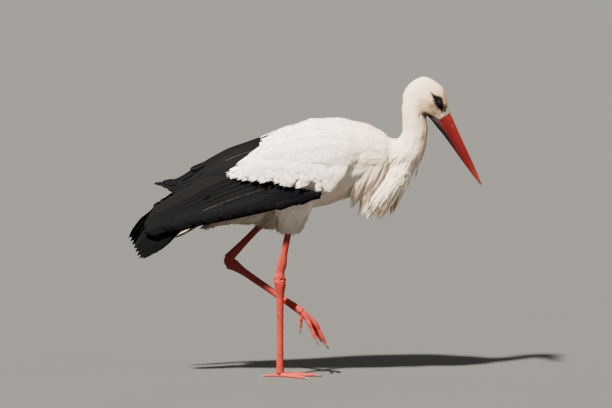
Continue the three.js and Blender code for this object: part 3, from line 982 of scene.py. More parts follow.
@dataclass
class Leg:
    """One bare leg from the shank down to the claws."""

    side: Side
    knee: Triple
    heel: Triple
    hock: Triple
    ball: Triple
    ball_size: float
    standing: bool
    finish: LegSkin
    horn: Horn = Horn("claw_horn")
    claw_length: float = 11.0
    toe_lengths: tuple[float, float, float, float] = (65, 87, 73, 36)
    toe_halves: tuple[float, float, float, float] = (5.2, 5.6, 5.2, 4.2)
    toe_spread: float = 37.0
    voxel: float = 0.9
    knob: Triple = (13.0, 10.4, 13.5)
    pits: tuple[tuple[float, float, float], ...] = (
        (0.045, math.pi, 2.0),
        (0.045, 0.0, 2.0),
        (0.10, 4.0, -1.3),
        (0.10, 5.4, -1.3),
        (0.02, 2.3, -1.2),
        (0.02, 0.8, -1.2),
        (0.13, 1.6, 0.8),
    )

    @staticmethod
    def between(start: Triple, end: Triple, share: float) -> Array:
        """The point a share of the way from one point to another."""
        return np.add(start, np.subtract(end, start) * share)

    def build(self) -> None:
        """Makes the leg as one skin, and its claws."""
        toes = self._toes()
        tubes = [self._shank(), self._tarsus()]
        tubes += [self._toe(*shape) for shape in toes.values()]
        bm = bmesh.new()
        for tube in tubes:
            tube.build(bm)
        joint = Vector(self.between(self.heel, self.hock, 0.5) * MM)
        knob = Matrix.LocRotScale(joint, None, Vector(self.knob) * MM)
        bmesh.ops.create_icosphere(bm, subdivisions=3, radius=1.0, matrix=knob)
        mesh = fused(bm, self.voxel, 7)
        points, normals = points_of(mesh)
        points = points + normals * self._relief(tubes, points)[:, None]
        points[:, 2] = np.maximum(points[:, 2], 0)
        move_points(mesh, points)
        word = self.side.word
        nodes = [f"shank_{word}", f"tarsus_{word}"] + [f"toe_{which}_{word}" for which in toes]
        place_piece(f"leg_{word}", mesh, self.finish.make(), nodes)
        horn = self.horn.make()
        for which, shape in toes.items():
            self._claw(f"claw_{which}_{word}", *shape[:3], horn)

    def _relief(self, tubes: list[Tube], points: Array) -> Array:
        """How far the folds and scutes of the nearest tube move each point out."""
        shares = np.linspace(0, 1, 400)
        tree = KDTree(len(tubes) * len(shares))
        frames = [tube.frame(shares) for tube in tubes]
        for number, (centres, _, _, _) in enumerate(frames):
            for step, centre in enumerate(centres):
                tree.insert(centre, number * len(shares) + step)
        tree.balance()
        found = np.array([tree.find(point)[1] for point in points])
        owner, step = found // len(shares), found % len(shares)
        move = np.zeros(len(points))
        for number, tube in enumerate(tubes):
            mine = owner == number
            centre, side, left, _ = (part[step[mine]] for part in frames[number])
            away = points[mine] - centre
            turn = np.arctan2((away * left).sum(1), (away * side).sum(1))
            share = shares[step[mine]]
            move[mine] = tube.relief(share, turn) * eased(share, 0, 0.05) * eased(1 - share, 0, 0.05)
        return move

    def _shank(self) -> Tube:
        """The bare shank down to the hock."""
        rows = (
            (0.44, 7.4, 8.0),
            (0.6, 6.7, 7.6),
            (0.74, 6.8, 8.0),
            (0.84, *((8.2, 11.0) if self.standing else (7.4, 9.2))),
            (0.92, *((7.8, 9.6) if self.standing else (8.0, 10.2))),
            (0.97, *((9.4, 12.5) if self.standing else (8.6, 11.2))),
            (1.01, *((9.6, 12.5) if self.standing else (8.8, 11.4))),
        )
        stations = [(*self.between(self.knee, self.heel, share), *sizes) for share, *sizes in rows]

        def folds(share: Array, turn: Array) -> Array:
            """The shank's fine folds."""
            fine = np.sin(share * 75 + np.sin(turn * 2) * 1.5) * eased(share, 0.55, 0.95)
            return 0.30 * fine + 0.25 * np.sin(turn * 3 + 1) * share

        return Tube(stations, sides=32, rings=60, blunt=(0, 0.08), relief=folds)

    def _tarsus(self) -> Tube:
        """The hock, the tarsus and the ball of the foot."""
        rows = (
            (-0.05, 8.6, 12.0),
            (0.02, 10.6, 14.0),
            (0.08, 9.2, 11.8),
            (0.14, 7.4, 9.6),
            (0.22, 6.4, 8.4),
            (0.45, 5.8, 7.6),
            (0.7, 5.9, 7.4),
            (0.93, 7.8, 8.6),
            (1.02, self.ball_size, self.ball_size),
        )
        stations = [(*self.between(self.hock, self.ball, share), *sizes) for share, *sizes in rows]

        def folds(share: Array, turn: Array) -> Array:
            """The folds and pits of the hock and the scutes down the front."""
            joint = np.exp(-(((share - 0.07) / 0.09) ** 2))
            wrinkles = np.sin(share * 105 + 2.2 * np.sin(turn * 2) + 1.1 * np.sin(turn * 5 + 1)) * joint
            dimple = np.zeros_like(share)
            for at, flank, depth in self.pits:
                dimple += depth * np.exp(-(((share - at) / 0.028) ** 2) - (np.cos(turn - flank) - 1) ** 2 / 0.08)
            front = np.clip(np.sin(turn), 0, 1)
            scutes = np.abs(np.sin(share * 105)) ** 0.6 * front * eased(share, 0.12, 0.2)
            fine = np.sin(share * 130 + np.sin(turn * 4) * 2)
            return 0.35 * wrinkles - dimple + 0.22 * scutes + 0.10 * fine

        return Tube(stations, sides=36, rings=80, blunt=(0.05, 0.05), relief=folds)

    def _toes(self) -> dict[str, tuple[Array, Array, float, float]]:
        """The root, tip, half width and arch of each toe."""
        ball = np.array(self.ball, float)
        names = ("inner", "middle", "outer", "hind")
        if not self.standing:
            tips = ((34, -16, -65), (56, 1, -77), (41, 19, -64), (-3, 0, -40))
            halves, arches = (5.4, 5.8, 5.2, 4.2), (3, 9, 7, 0)
            return {
                name: (self.between(ball, ball + tip, 0.05), ball + tip, half, arch)
                for name, tip, half, arch in zip(names, tips, halves, arches)
            }
        turns = (math.radians(self.toe_spread), 0.0, -math.radians(self.toe_spread), math.pi + 0.12)
        toes = {}
        for name, length, turn, half in zip(names, self.toe_lengths, turns, self.toe_halves):
            ahead = np.array([math.cos(turn), math.sin(turn), 0])
            root, tip = ball + ahead * 4, ball + ahead * length
            root[2], tip[2] = half * 0.86 - 1.3, half * 0.6 - 0.6
            toes[name] = (root, tip, half, 0.0)
        return toes

    def _toe(self, root: Array, tip: Array, half: float, arch: float) -> Tube:
        """One jointed toe with scutes along its top and pads under its joints."""
        lift = np.array([0.8, 0, 0.6]) * arch
        rows = (
            (-0.06, 0, 1.20, 1.10),
            (0.12, 0.5, 1.12, 1.02),
            (0.26, 0.9, 0.94, 0.88),
            (0.42, 1, 1.08, 1.02),
            (0.6, 0.75, 0.80, 0.78),
            (0.76, 0.4, 0.92, 0.88),
            (0.9, 0.15, 0.68, 0.66),
            (1, 0, 0.60, 0.58),
        )
        stations = [
            (*(self.between(root, tip, share) + lift * lifted), half * wide, half * deep)
            for share, lifted, wide, deep in rows
        ]
        length = float(np.linalg.norm(tip - root))

        def scutes(share: Array, turn: Array) -> Array:
            """Plates across the toe's top."""
            top = eased(np.sin(turn), -0.3, 0.4)
            plates = np.abs(np.sin(share * length / 3.8 * math.pi)) ** 0.5
            return 0.45 * (plates - 0.8) * top * eased(share, 0.1, 0.2)

        return Tube(stations, sides=24, rings=50, blunt=(0, 0.08), relief=scutes)

    def _claw(self, name: str, root: Array, tip: Array, half: float, horn: bpy.types.Material) -> None:
        """Makes one short claw."""
        ahead = unit(tip - root)
        end = tip + ahead * self.claw_length + [0, 0, -1.4]
        stations = [
            (*(tip - ahead * 3), half * 0.60, half * 0.5),
            (*self.between(tip, end, 0.45), half * 0.55, half * 0.42),
            (*end, half * 0.2, half * 0.16),
        ]
        bm = bmesh.new()
        Tube(stations, sides=20, rings=24, blunt=(0, 0.1)).build(bm)
        for vertex in bm.verts:
            vertex.co.z = max(vertex.co.z, 0.0)
        place_piece(name, mesh_of(bm, name), horn, [name])


# ---- flight feathers ------------------------------------------------------------------------------


@dataclass
class Vane:
    """One long feather from root to tip.

    Its blade is turned by lean about the shaft. bow and flare lift it off the straight line at 0.4 and 0.8
    of its length, out is how far it is set off from the body, and sink how far its root is let in.
    """

    root: Array
    tip: Array
    half: float
    bow: float = 0.0
    flare: float = 0.0
    lean: float = 0.0
    point: float = 0.35
    out: float = 0.0
    sink: float = 0.0
    outward: int = 1
    camber: float = 2.0
    splits: int = 2
    # A strong pale streak along the shaft, partly a paler shaft and partly painted highlight.
    pale_shaft: bool = False


@dataclass
class FeatherSet:
    """A group of long feathers that make one piece."""

    name: str
    vanes: list[Vane]
    slot: Slot
    replaced: tuple[str, ...]
    across: int = 10
    along: int = 26
    thick: float = 0.5
    seed: int = 3

    def build(self, material: bpy.types.Material) -> bpy.types.Object:
        """Makes the piece.

        Args:
            material: Its finish.

        Returns:
            The piece.
        """
        bm = bmesh.new()
        maps = {name: bm.loops.layers.uv.new(name) for name in ("OFBake", "Vane")}
        tone = bm.verts.layers.float.new("tone")
        quill = bm.verts.layers.float.new("quill")
        cells = math.ceil(math.sqrt(len(self.vanes)))
        chance = np.random.default_rng(self.seed)
        for index, vane in enumerate(self.vanes):
            corner = np.array([index % cells, index // cells]) / cells
            self._blade(bm, vane, corner, 1 / cells, maps, tone, quill, chance)
        piece = place_piece(self.name, mesh_of(bm, self.name), material, self.replaced)
        walls = piece.modifiers.new("Thickness", "SOLIDIFY")
        walls.thickness, walls.offset = self.thick * MM, 0.0
        return piece

    def _blade(
        self,
        bm: bmesh.types.BMesh,
        vane: Vane,
        corner: Array,
        cell: float,
        maps: dict[str, bmesh.types.BMLayerItem],
        tone: bmesh.types.BMLayerItem,
        quill: bmesh.types.BMLayerItem,
        chance: np.random.Generator,
    ) -> None:
        """Adds one feather to the bmesh, with its own cell of the bake map."""
        made = bmesh.ops.create_grid(bm, x_segments=self.across, y_segments=self.along, size=1)["verts"]
        grid = np.array([vertex.co[:2] for vertex in made]) / 2 + 0.5
        for vertex, place in zip(made, grid):
            for loop in vertex.link_loops:
                loop[maps["Vane"]].uv = place
                loop[maps["OFBake"]].uv = corner + cell * (0.04 + 0.92 * place)
        across, share = grid[:, 0] * 2 - 1, grid[:, 1]
        lifted = [(0.0, 0.0), (0.4, vane.bow), (0.8, vane.flare), (1.0, 0.0)]
        run = vane.tip - vane.root
        spine = Path([vane.root + run * at + np.array([0, 0, lift]) for at, lift in lifted])
        ahead = spine.ahead(share)
        side = flat_on(np.broadcast_to([0.0, 1.0, 0.0], ahead.shape), ahead)
        left = np.cross(ahead, side)
        cosine, sine = math.cos(vane.lean), math.sin(vane.lean)
        flat, face = left * cosine - side * sine, (side * cosine + left * sine) * vane.outward
        end = np.clip((share - 0.80) / 0.20, 0, 1)
        width = (0.45 + 0.55 * eased(share, 0.0, 0.35)) * (1 - (1 - vane.point) * end**2.2)
        width *= np.sqrt(np.clip(1 - end**6, 0.0, 1))
        notch = np.zeros_like(share)
        for _ in range(vane.splits):
            place, half, edge = chance.uniform(0.35, 0.92), chance.uniform(0.008, 0.02), chance.choice([-1, 1])
            depth = chance.uniform(0.12, 0.4) * (across * edge > 0.3)
            notch = np.maximum(notch, depth * np.exp(-(((share - place - 0.05 * np.abs(across)) / half) ** 2)))
        frayed = 1 + 0.03 * np.sin(share * 47 + chance.uniform(0, 6)) + 0.02 * np.sin(share * 91 + chance.uniform(0, 6))
        reach = across * width * vane.half * (1 - notch) * frayed
        shaft = np.exp(-((across / 0.12) ** 2)) * (1 - 0.8 * share)
        rise = -vane.camber * across**2 + 0.9 * shaft + vane.out - vane.sink * (1 - eased(share, 0.02, 0.35))
        ripple = 0.25 * np.sin(share * 23 + across * 2 + chance.uniform(0, 6)) * np.abs(across)
        points = spine.at(share) + reach[:, None] * flat + (rise + ripple)[:, None] * face
        shade = chance.uniform(0, 1)
        for vertex, point in zip(made, points):
            vertex.co = point * MM
            vertex[tone] = shade
            # 0.10 gives every shaft a faint pale streak; 0.9 makes it strong, partly paler shaft and partly painted
            # highlight.
            vertex[quill] = 0.9 if vane.pale_shaft else 0.10


@dataclass
class Wings:
    """The black feathers of both folded wings."""

    finish: BlackPlumage = BlackPlumage("black_plumage")
    covert_finish: BlackPlumage = BlackPlumage(
        "black_coverts", gloss=(0.0017, 0.0015, 0.0028, 1), dull=(0.0016, 0.0015, 0.0023, 1), shine=0.48, wear=0.2
    )
    tertial_roots: tuple[Triple, ...] = ((-26, 9, 559), (-46, 34, 541), (-86, 57, 488))
    tertial_tips: tuple[Triple, ...] = ((-288, 8, 447), (-262, 20, 443), (-236, 38, 422))
    secondary_roots: tuple[Triple, ...] = ((93, 86, 431), (20, 84, 446), (-92, 60, 482))
    secondary_tips: tuple[Triple, ...] = (
        (-12, 85, 398),
        (-130, 73, 379),
        (-255, 48, 349),
        (-316, 34, 338),
        (-302, 30, 366),
    )
    primary_roots: tuple[Triple, ...] = ((92, 80, 425), (66, 78, 432), (20, 70, 444))
    primary_tips: tuple[Triple, ...] = ((-283, 34, 293), (-320, 28, 276), (-336, 22, 300))
    left_wing_shift: Triple = (-13, 0, 20)
    seed: int = 11

    @staticmethod
    def _row(points: Sequence[Triple], count: int, side: Side, shift: Triple = (0, 0, 0)) -> Array:
        """Evenly spaced points along a smooth curve on one side of the bird."""
        curve = Path(np.add(points, shift)).at(np.linspace(0, 1, count))
        return curve * [1, side.value, 1]

    def build(self) -> None:
        """Makes the feathers of both wings."""
        black, coverts = self.finish.make(), self.covert_finish.make()
        for side in Side:
            FeatherSet(
                f"tertials_{side.word}", self.tertials(side), Slot.FLIGHT, (f"tertials_{side.word}",), seed=21
            ).build(black)
            FeatherSet(
                f"secondaries_{side.word}",
                self.secondaries(side),
                Slot.FLIGHT,
                (f"secondaries_{side.word}",),
                seed=31,
            ).build(black)
            FeatherSet(
                f"primaries_{side.word}", self.primaries(side), Slot.FLIGHT, (f"primaries_{side.word}",), seed=41
            ).build(black)
            FeatherSet(f"greater_coverts_{side.word}", self.coverts(side), Slot.FLIGHT, (), seed=51).build(coverts)

    def tertials(self, side: Side) -> list[Vane]:
        """The long feathers over the rump and the narrow one beside them."""
        count = 9
        chance = np.random.default_rng(self.seed)
        roots, tips = self._row(self.tertial_roots, count, side), self._row(self.tertial_tips, count, side)
        made = []
        for i, share in enumerate(np.linspace(0, 1, count)):
            tip = tips[i] + (roots[i] - tips[i]) * chance.uniform(0, 0.10) * (i % 2)
            made.append(
                Vane(
                    roots[i],
                    tip,
                    half=14 + 6 * share,
                    lean=side.value * (-1.25 + share),
                    bow=4,
                    flare=-14,
                    out=1.6 * (1 - share),
                    outward=side.value,
                    pale_shaft=i == 5,
                )
            )
        spike = np.array([[-90, 14, 527], [-206, 16, 480]]) * [1, side.value, 1]
        made.append(Vane(*spike, half=6, lean=side.value * -0.9, out=2, outward=side.value))
        return made

    def secondaries(self, side: Side) -> list[Vane]:
        """The band along the lower flank."""
        count = 15
        chance = np.random.default_rng(self.seed + 1)
        roots, tips = self._row(self.secondary_roots, count, side), self._row(self.secondary_tips, count, side)
        made = []
        for i, share in enumerate(np.linspace(0, 1, count)):
            tip = tips[i] + (roots[i] - tips[i]) * chance.uniform(0, 0.10)
            made.append(
                Vane(
                    roots[i] - [0, 0, 3],
                    tip,
                    half=9 + 14 * share,
                    lean=side.value * (0.1 - 0.4 * share),
                    bow=5,
                    flare=2,
                    point=0.40,
                    out=-1.2 + 3.2 * share,
                    sink=2.0,
                    outward=side.value,
                    pale_shaft=i == 9,
                )
            )
        return made

    def primaries(self, side: Side) -> list[Vane]:
        """The wing tip, which on the left lies a little higher."""
        count = 8
        shift = self.left_wing_shift if side is Side.LEFT else (0, 0, 0)
        roots = self._row(self.primary_roots, count, side)
        tips = self._row(self.primary_tips, count, side, shift)
        return [
            Vane(
                roots[i],
                tips[i],
                half=9 + 4 * share,
                lean=side.value * (-0.1 - 0.3 * share),
                bow=19,
                flare=43 - 6 * share,
                out=1.5 * share - 1,
                outward=side.value,
                splits=1,
            )
            for i, share in enumerate(np.linspace(0, 1, count))
        ]

    def coverts(self, side: Side) -> list[Vane]:
        """The shorter glossy feathers over the roots of the band."""
        count = 17
        chance = np.random.default_rng(self.seed + 2)
        roots, tips = self._row(self.secondary_roots, count, side), self._row(self.secondary_tips, count, side)
        made = []
        for i, share in enumerate(np.linspace(0, 1, count)):
            way = unit(unit(tips[i] - roots[i]) - [0, 0, 0.42 * share])
            root = roots[i] + [2, -1.5 * side.value, 2 - 2 * share]
            length = 50 + 84 * share + chance.uniform(-8, 8)
            made.append(
                Vane(
                    root,
                    root + way * length + [0, 0, -4],
                    half=9.5 + 7 * share,
                    lean=side.value * (0.1 - 0.35 * share),
                    bow=2,
                    flare=1,
                    point=0.6,
                    out=0.8 + 2.4 * share,
                    sink=4.5,
                    outward=side.value,
                    camber=1.4,
                    splits=1,
                )
            )
        return made


@dataclass
class Tail:
    """The short white tail under the wings."""

    roots: tuple[Triple, ...] = ((-108, -22, 392), (-108, 22, 392))
    tips: tuple[Triple, ...] = ((-229, -27, 328), (-241, 0, 323), (-229, 27, 328))
    count: int = 12
    finish: WhiteVanes = WhiteVanes("tail_white")

    def build(self) -> None:
        """Makes the fanned tail feathers."""
        shares = np.linspace(0, 1, self.count)
        roots, tips = Path(self.roots).at(shares), Path(self.tips).at(shares)
        vanes = [
            Vane(
                roots[i],
                tips[i],
                half=13,
                lean=math.pi / 2,
                bow=4,
                point=0.6,
                out=1.2 * (1 - abs(share - 0.5) * 2),
                camber=1.0,
            )
            for i, share in enumerate(shares)
        ]
        FeatherSet("tail_feathers", vanes, Slot.PLUMAGE, (), seed=61).build(self.finish.make())


# ---- skin and coat --------------------------------------------------------------------------------


@dataclass(frozen=True)
class Cut:
    """How a small feather is cut: its locks side by side, where they part and how ragged their ends are."""

    locks: int = 6
    rows: int = 3
    parting: float = 0.60
    ragged: float = 0.16
    rounding: float = 0.26
    taper: float = 0.85
    camber: float = 1.0
    lift: float = 0.35

    def pattern(self, chance: np.random.Generator) -> tuple[Array, Array]:
        """Cuts one feather.

        Args:
            chance: Where its raggedness comes from.

        Returns:
            Rows of (along, across, height), and the three vertices of each face.
        """
        across = np.linspace(-1, 1, self.locks + 1)
        points: list[tuple[float, float, float]] = []
        for row in np.linspace(0, self.parting, self.rows + 1):
            width = 0.30 + 0.70 * math.sin(min(row / 0.5, 1) * math.pi / 2)
            points += [(row, place * width, -self.camber * (place * width) ** 2) for place in across]
        faces = []
        step = self.locks + 1
        for row in range(self.rows):
            for lock in range(self.locks):
                a = row * step + lock
                faces += [(a, a + 1, a + step + 1), (a, a + step + 1, a + step)]
        last = self.rows * step
        for lock in range(self.locks):
            middle = (across[lock] + across[lock + 1]) / 2
            end = max(1 - self.rounding * middle**2 - chance.uniform(0, self.ragged), self.parting + 0.12)
            drift = chance.uniform(-0.5, 0.5) / self.locks
            lift = chance.uniform(-self.lift, self.lift)
            half = 0.80 / self.locks
            waist = (self.parting + end) / 2
            first = len(points)
            centre = middle * (1 + self.taper) / 2 + drift * 0.4
            points.append((waist, centre - half, -self.camber * middle**2 + lift * 0.5))
            points.append((waist, centre + half, -self.camber * middle**2 + lift * 0.5))
            points.append((end, middle * self.taper + drift, -self.camber * middle**2 + lift))
            a, b = last + lock, last + lock + 1
            faces += [(a, b, first + 1), (a, first + 1, first), (first, first + 1, first + 2)]
        return np.array(points), np.array(faces)[:, ::-1]


@dataclass(frozen=True)
class Tract:
    """One field of small feathers.

    Lengths are millimetres. grade scales the sizes along the bird, from its first number at x = -150 to
    its second at x = 200. hang is how far the ends hang free under an edge. lock and pull are the spacing of
    the locks that the feathers gather in, and how strongly. hem is the lowest height that the feathers hang
    to, as pairs of x and z, and rear the furthest back that they reach.
    """

    name: str
    nodes: tuple[str, ...]
    length: float
    half: float
    spacing: float
    depth: float
    cut: Cut
    grade: tuple[float, float] = (1.0, 1.0)
    hang: float = 0.0
    swirl: float = 0.10
    lock: float = 14.0
    pull: float = 0.3
    hem: tuple[tuple[float, float], ...] = ()
    slot: Slot = Slot.PLUMAGE
    rear: float = -400.0

    def numbers(self) -> tuple[float, ...]:
        """The sizes that blend from one tract into the next."""
        return (self.length, self.half, self.spacing, self.depth, self.grade[0], self.grade[1], self.hang, self.swirl)


@dataclass(frozen=True)
class Row:
    """A row of larger feathers whose tips follow a line.

    The line is given for the left side and stands for both. way is the direction that they point in, and
    cling is how closely they keep to the ground.
    """

    tips: tuple[Triple, ...]
    way: Triple
    count: int
    length: float
    half: float
    layers: int = 3
    step: float = 12.0
    rise: float = 0.5
    cling: float = 0.92


SILK = Cut(locks=3, rows=2, parting=0.45, ragged=0.22, rounding=0.4, taper=0.6, camber=0.5)
FUZZ = Cut(locks=3, rows=1, parting=0.5, ragged=0.2, rounding=0.3, taper=0.7, camber=0.25)
SHINGLE = Cut(locks=7, ragged=0.10, lift=0.18)
SCALLOP = Cut(locks=9, rows=3, parting=0.68, ragged=0.13, rounding=0.24, taper=0.92, camber=1.3)
LOOSE = Cut(locks=6, rows=2, parting=0.35, ragged=0.30, rounding=0.3, taper=0.85, camber=0.8)
LANCE = Cut(locks=4, rows=3, parting=0.55, ragged=0.25, rounding=0.6, taper=0.35, camber=1.2)

EVEN = (1.0, 1.0)
WING = (1.35, 0.75)
VENT_HEM = ((-240, 300), (-185, 318), (-107, 344), (-79, 333), (-50, 330))
NEAR_HEM = ((-40, 340), (-10, 326), (55, 330), (75, 345))
FAR_HEM = ((-90, 336), (-50, 327), (40, 330))

TRACTS = (
    Tract("head", ("head",), 9.0, 1.9, 2.5, 1.5, FUZZ, swirl=0.07, lock=4.5, pull=0.3),
    Tract("neck", ("neck_upper",), 34.0, 2.4, 3.2, 1.9, SILK, swirl=0.06, lock=8.5, pull=0.6),
    Tract("breast", ("neck_lower",), 56.0, 3.9, 4.2, 3.4, SILK, swirl=0.08, lock=13.0, pull=0.65),
    Tract("mantle", ("trunk",), 40.0, 9.0, 7.2, 2.9, SHINGLE, (1.15, 0.85), lock=22.0, pull=0.10),
    Tract("plumes", ("lobe",), 52.0, 4.2, 4.4, 4.0, SILK, hang=1.0, lock=12.0, pull=0.7),
    Tract("vent", ("vent",), 42.0, 7.0, 6.0, 4.0, LOOSE, hang=0.8, lock=16.0, pull=0.5, hem=VENT_HEM),
    Tract("wing_right", ("wing_right",), 30.0, 8.0, 6.6, 2.7, SHINGLE, WING, 0.6, lock=20.0, pull=0.12, slot=Slot.LIMB, rear=-131),
    Tract("wing_left", ("wing_left",), 30.0, 8.0, 6.6, 2.7, SHINGLE, WING, 0.6, lock=20.0, pull=0.12, slot=Slot.LIMB, rear=-131),
    Tract("thigh_right", ("thigh_right",), 42.0, 5.0, 5.0, 4.0, LOOSE, EVEN, 1.0, 0.14, 13.0, 0.6, NEAR_HEM, Slot.LIMB),
    Tract("thigh_left", ("thigh_left",), 42.0, 5.0, 5.0, 4.0, LOOSE, EVEN, 1.0, 0.14, 13.0, 0.6, FAR_HEM, Slot.LIMB),
)

ROWS = (
    Row(
        (
            (108, 94, 434),
            (96, 94, 433),
            (55, 94.5, 440),
            (18, 94.5, 446),
            (-16, 92.5, 453),
            (-57, 86.5, 457),
            (-96, 72, 458),
            (-127, 58, 467),
        ),
        (-0.66, 0, -0.75),
        26,
        44.0,
        8.4,
        layers=5,
        step=9.5,
        rise=0.4,
        cling=0.12,
    ),
    Row(((-128, 58, 467), (-86, 66, 490), (-56, 46, 525), (-34, 24, 545), (-30, 6, 551)), (-0.93, 0, -0.37), 20, 34.0, 5.5),
)


class Lie:
    """The way that the feathers lie, from places where it is known. Each place stands for both sides."""

    GUIDES: tuple[tuple[Triple, Triple], ...] = (
        ((385, 0, 645), (-0.35, 0, 0.94)),
        ((350, 0, 692), (-1, 0, 0)),
        ((300, 0, 680), (-0.6, 0, -0.8)),
        ((278, 0, 630), (0, 0, -1)),
        ((365, 24, 615), (-0.9, 0, -0.4)),
        ((360, 22, 655), (-0.9, 0, 0.2)),
        ((330, 26, 650), (-0.9, 0, -0.4)),
        ((350, 0, 590), (-0.6, 0, -0.8)),
        ((315, 25, 640), (-0.5, 0, -0.85)),
        ((281, 0, 590), (0, 0, -1)),
        ((339, 0, 575), (-0.05, 0, -1)),
        ((310, 28, 590), (-0.05, 0, -1)),
        ((308, 28, 560), (-0.1, 0, -1)),
        ((270, 0, 556), (-0.9, 0, -0.2)),
        ((255, 20, 552), (-0.95, 0, -0.3)),
        ((290, 35, 530), (-0.35, 0, -0.93)),
        ((255, 45, 500), (-0.6, 0, -0.8)),
        ((335, 0, 530), (-0.15, 0, -1)),
        ((318, 0, 490), (-0.3, 0, -0.95)),
        ((270, 40, 480), (-0.45, 0, -0.9)),
        ((230, 50, 520), (-0.85, 0, -0.5)),
        ((180, 0, 592), (-1, 0, 0.05)),
        ((80, 0, 585), (-1, 0, -0.1)),
        ((-20, 0, 550), (-1, 0, -0.4)),
        ((200, 60, 460), (-0.8, 0, -0.6)),
        ((200, 0, 430), (-0.9, 0, -0.45)),
        ((120, 85, 440), (-0.97, 0, -0.25)),
        ((100, 0, 395), (-1, 0, -0.2)),
        ((-20, 0, 375), (-1, 0, 0)),
        ((-80, 50, 450), (-1, 0, -0.35)),
        ((228, 62, 492), (-0.62, 0, -0.78)),
        ((212, 66, 466), (-0.6, 0, -0.8)),
        ((240, 56, 470), (-0.5, 0, -0.86)),
        ((170, 75, 540), (-0.8, 0, -0.6)),
        ((100, 90, 545), (-0.95, 0, -0.3)),
        ((30, 95, 510), (-0.93, 0, -0.36)),
        ((50, 95, 460), (-0.8, 0, -0.6)),
        ((-60, 80, 490), (-0.9, 0, -0.43)),
        ((20, 70, 400), (-0.35, 0, -0.93)),
        ((20, 60, 350), (-0.15, 0, -1)),
        ((-30, 80, 380), (-0.5, 0, -0.86)),
        ((-60, 60, 345), (-0.6, 0, -0.8)),
    )

    def __init__(self) -> None:
        """Mirrors the guides."""
        places = np.array([place for place, _ in self.GUIDES], float)
        ways = unit(np.array([way for _, way in self.GUIDES], float))
        self.places = np.vstack([places, places * [1, -1, 1]])
        self.ways = np.vstack([ways, ways * [1, -1, 1]])

    def at(self, points: Array, normals: Array) -> Array:
        """The lie at points of a surface.

        Args:
            points: The places.
            normals: The surface's normals there.

        Returns:
            A direction along the surface for each.
        """
        apart = np.linalg.norm(points[:, None, :] - self.places[None], axis=2)
        weights = 1 / (apart + 5) ** 3.5
        ways = (weights[..., None] * self.ways[None]).sum(1) / weights.sum(1, keepdims=True)
        return flat_on(ways, normals)


@dataclass
class Skin:
    """The one closed skin under all the feathers."""

    nodes: dict[str, bpy.types.Object]
    eye: Eye
    voxel: float = 3.0
    swell: float = 0.6
    lobe: tuple[tuple[float, ...], ...] = (
        (302, 0, 500, 30, 22, 30),
        (275, 0, 469, 48, 25, 52),
        (246, 0, 435, 46, 21, 50),
        (224, 0, 409, 36, 18, 38),
    )
    vent: tuple[tuple[float, ...], ...] = ((-25, 0, 392, 46, 30, 22), (-75, 0, 380, 43, 30, 20), (-120, 0, 366, 34, 17, 17), (-185, 0, 343, 22, 8, 8))
    brow: tuple[tuple[float, ...], ...] = (
        (362, 0, 630, 20, 16, 12),
        (373, 0, 611, 16, 17.5, 10),
        (380.5, 0, 598, 13, 14.5, 8),
    )
    finish: WhitePlumage = WhitePlumage("plumage_skin", coat=False)
    points: Array = field(init=False)
    normals: Array = field(init=False)
    triangles: Array = field(init=False)
    weights: Array = field(init=False)

    def _source(self, name: str) -> bmesh.types.BMesh:
        """The solid that a tract grows on."""
        rows = {"lobe": self.lobe, "vent": self.vent}.get(name)
        if rows is None:
            return merged(self.nodes[name].data, self.swell)
        bm = bmesh.new()
        Tube(rows, sides=32, rings=32, blunt=(0.2, 0.25)).build(bm)
        return bm

    def build(self) -> bpy.types.Object:
        """Joins the flesh nodes, closes them into one skin and draws it in by the depth of the coat.

        Returns:
            The skin.
        """
        whole = bmesh.new()
        sources = []
        for name in (node for tract in TRACTS for node in tract.nodes):
            source = self._source(name)
            sources.append(BVHTree.FromBMesh(source))
            whole.from_mesh(mesh_of(source, name))
        for side in Side:
            middle = self.eye.middle(side) - [0, side.value * 2.5, 0]
            spot = Matrix.Translation(Vector(middle * MM))
            bmesh.ops.create_icosphere(whole, subdivisions=3, radius=self.eye.radius * MM, matrix=spot)
        Tube(self.brow, sides=24, rings=16, blunt=(0.1, 0.12)).build(whole)
        mesh = fused(whole, self.voxel, 6)
        self._read(mesh)
        self._weigh(sources)
        depth = self.weights @ np.array([tract.depth for tract in TRACTS])
        move_points(mesh, self.points - self.normals * (depth + self.swell)[:, None])
        self._read(mesh)
        flesh = ["head", "neck_upper", "neck_lower", "trunk"]
        flesh += [f"{part}_{side.word}" for part in ("wing", "thigh") for side in Side]
        return place_piece("skin", mesh, self.finish.make(), flesh)

    def _read(self, mesh: bpy.types.Mesh) -> None:
        """Takes the mesh's points, normals and triangles, in millimetres."""
        self.points, self.normals = points_of(mesh)
        mesh.calc_loop_triangles()
        self.triangles = np.zeros(len(mesh.loop_triangles) * 3, np.int32)
        mesh.loop_triangles.foreach_get("vertices", self.triangles)
        self.triangles = self.triangles.reshape(-1, 3)

    def _weigh(self, sources: list[BVHTree]) -> None:
        """Works out how much each tract counts at each vertex."""
        apart = np.array([[tree.find_nearest(point)[3] for tree in sources] for point in self.points * MM]) / MM
        weights = 1 / (apart + 3.0) ** 3
        self.weights = weights / weights.sum(1, keepdims=True)


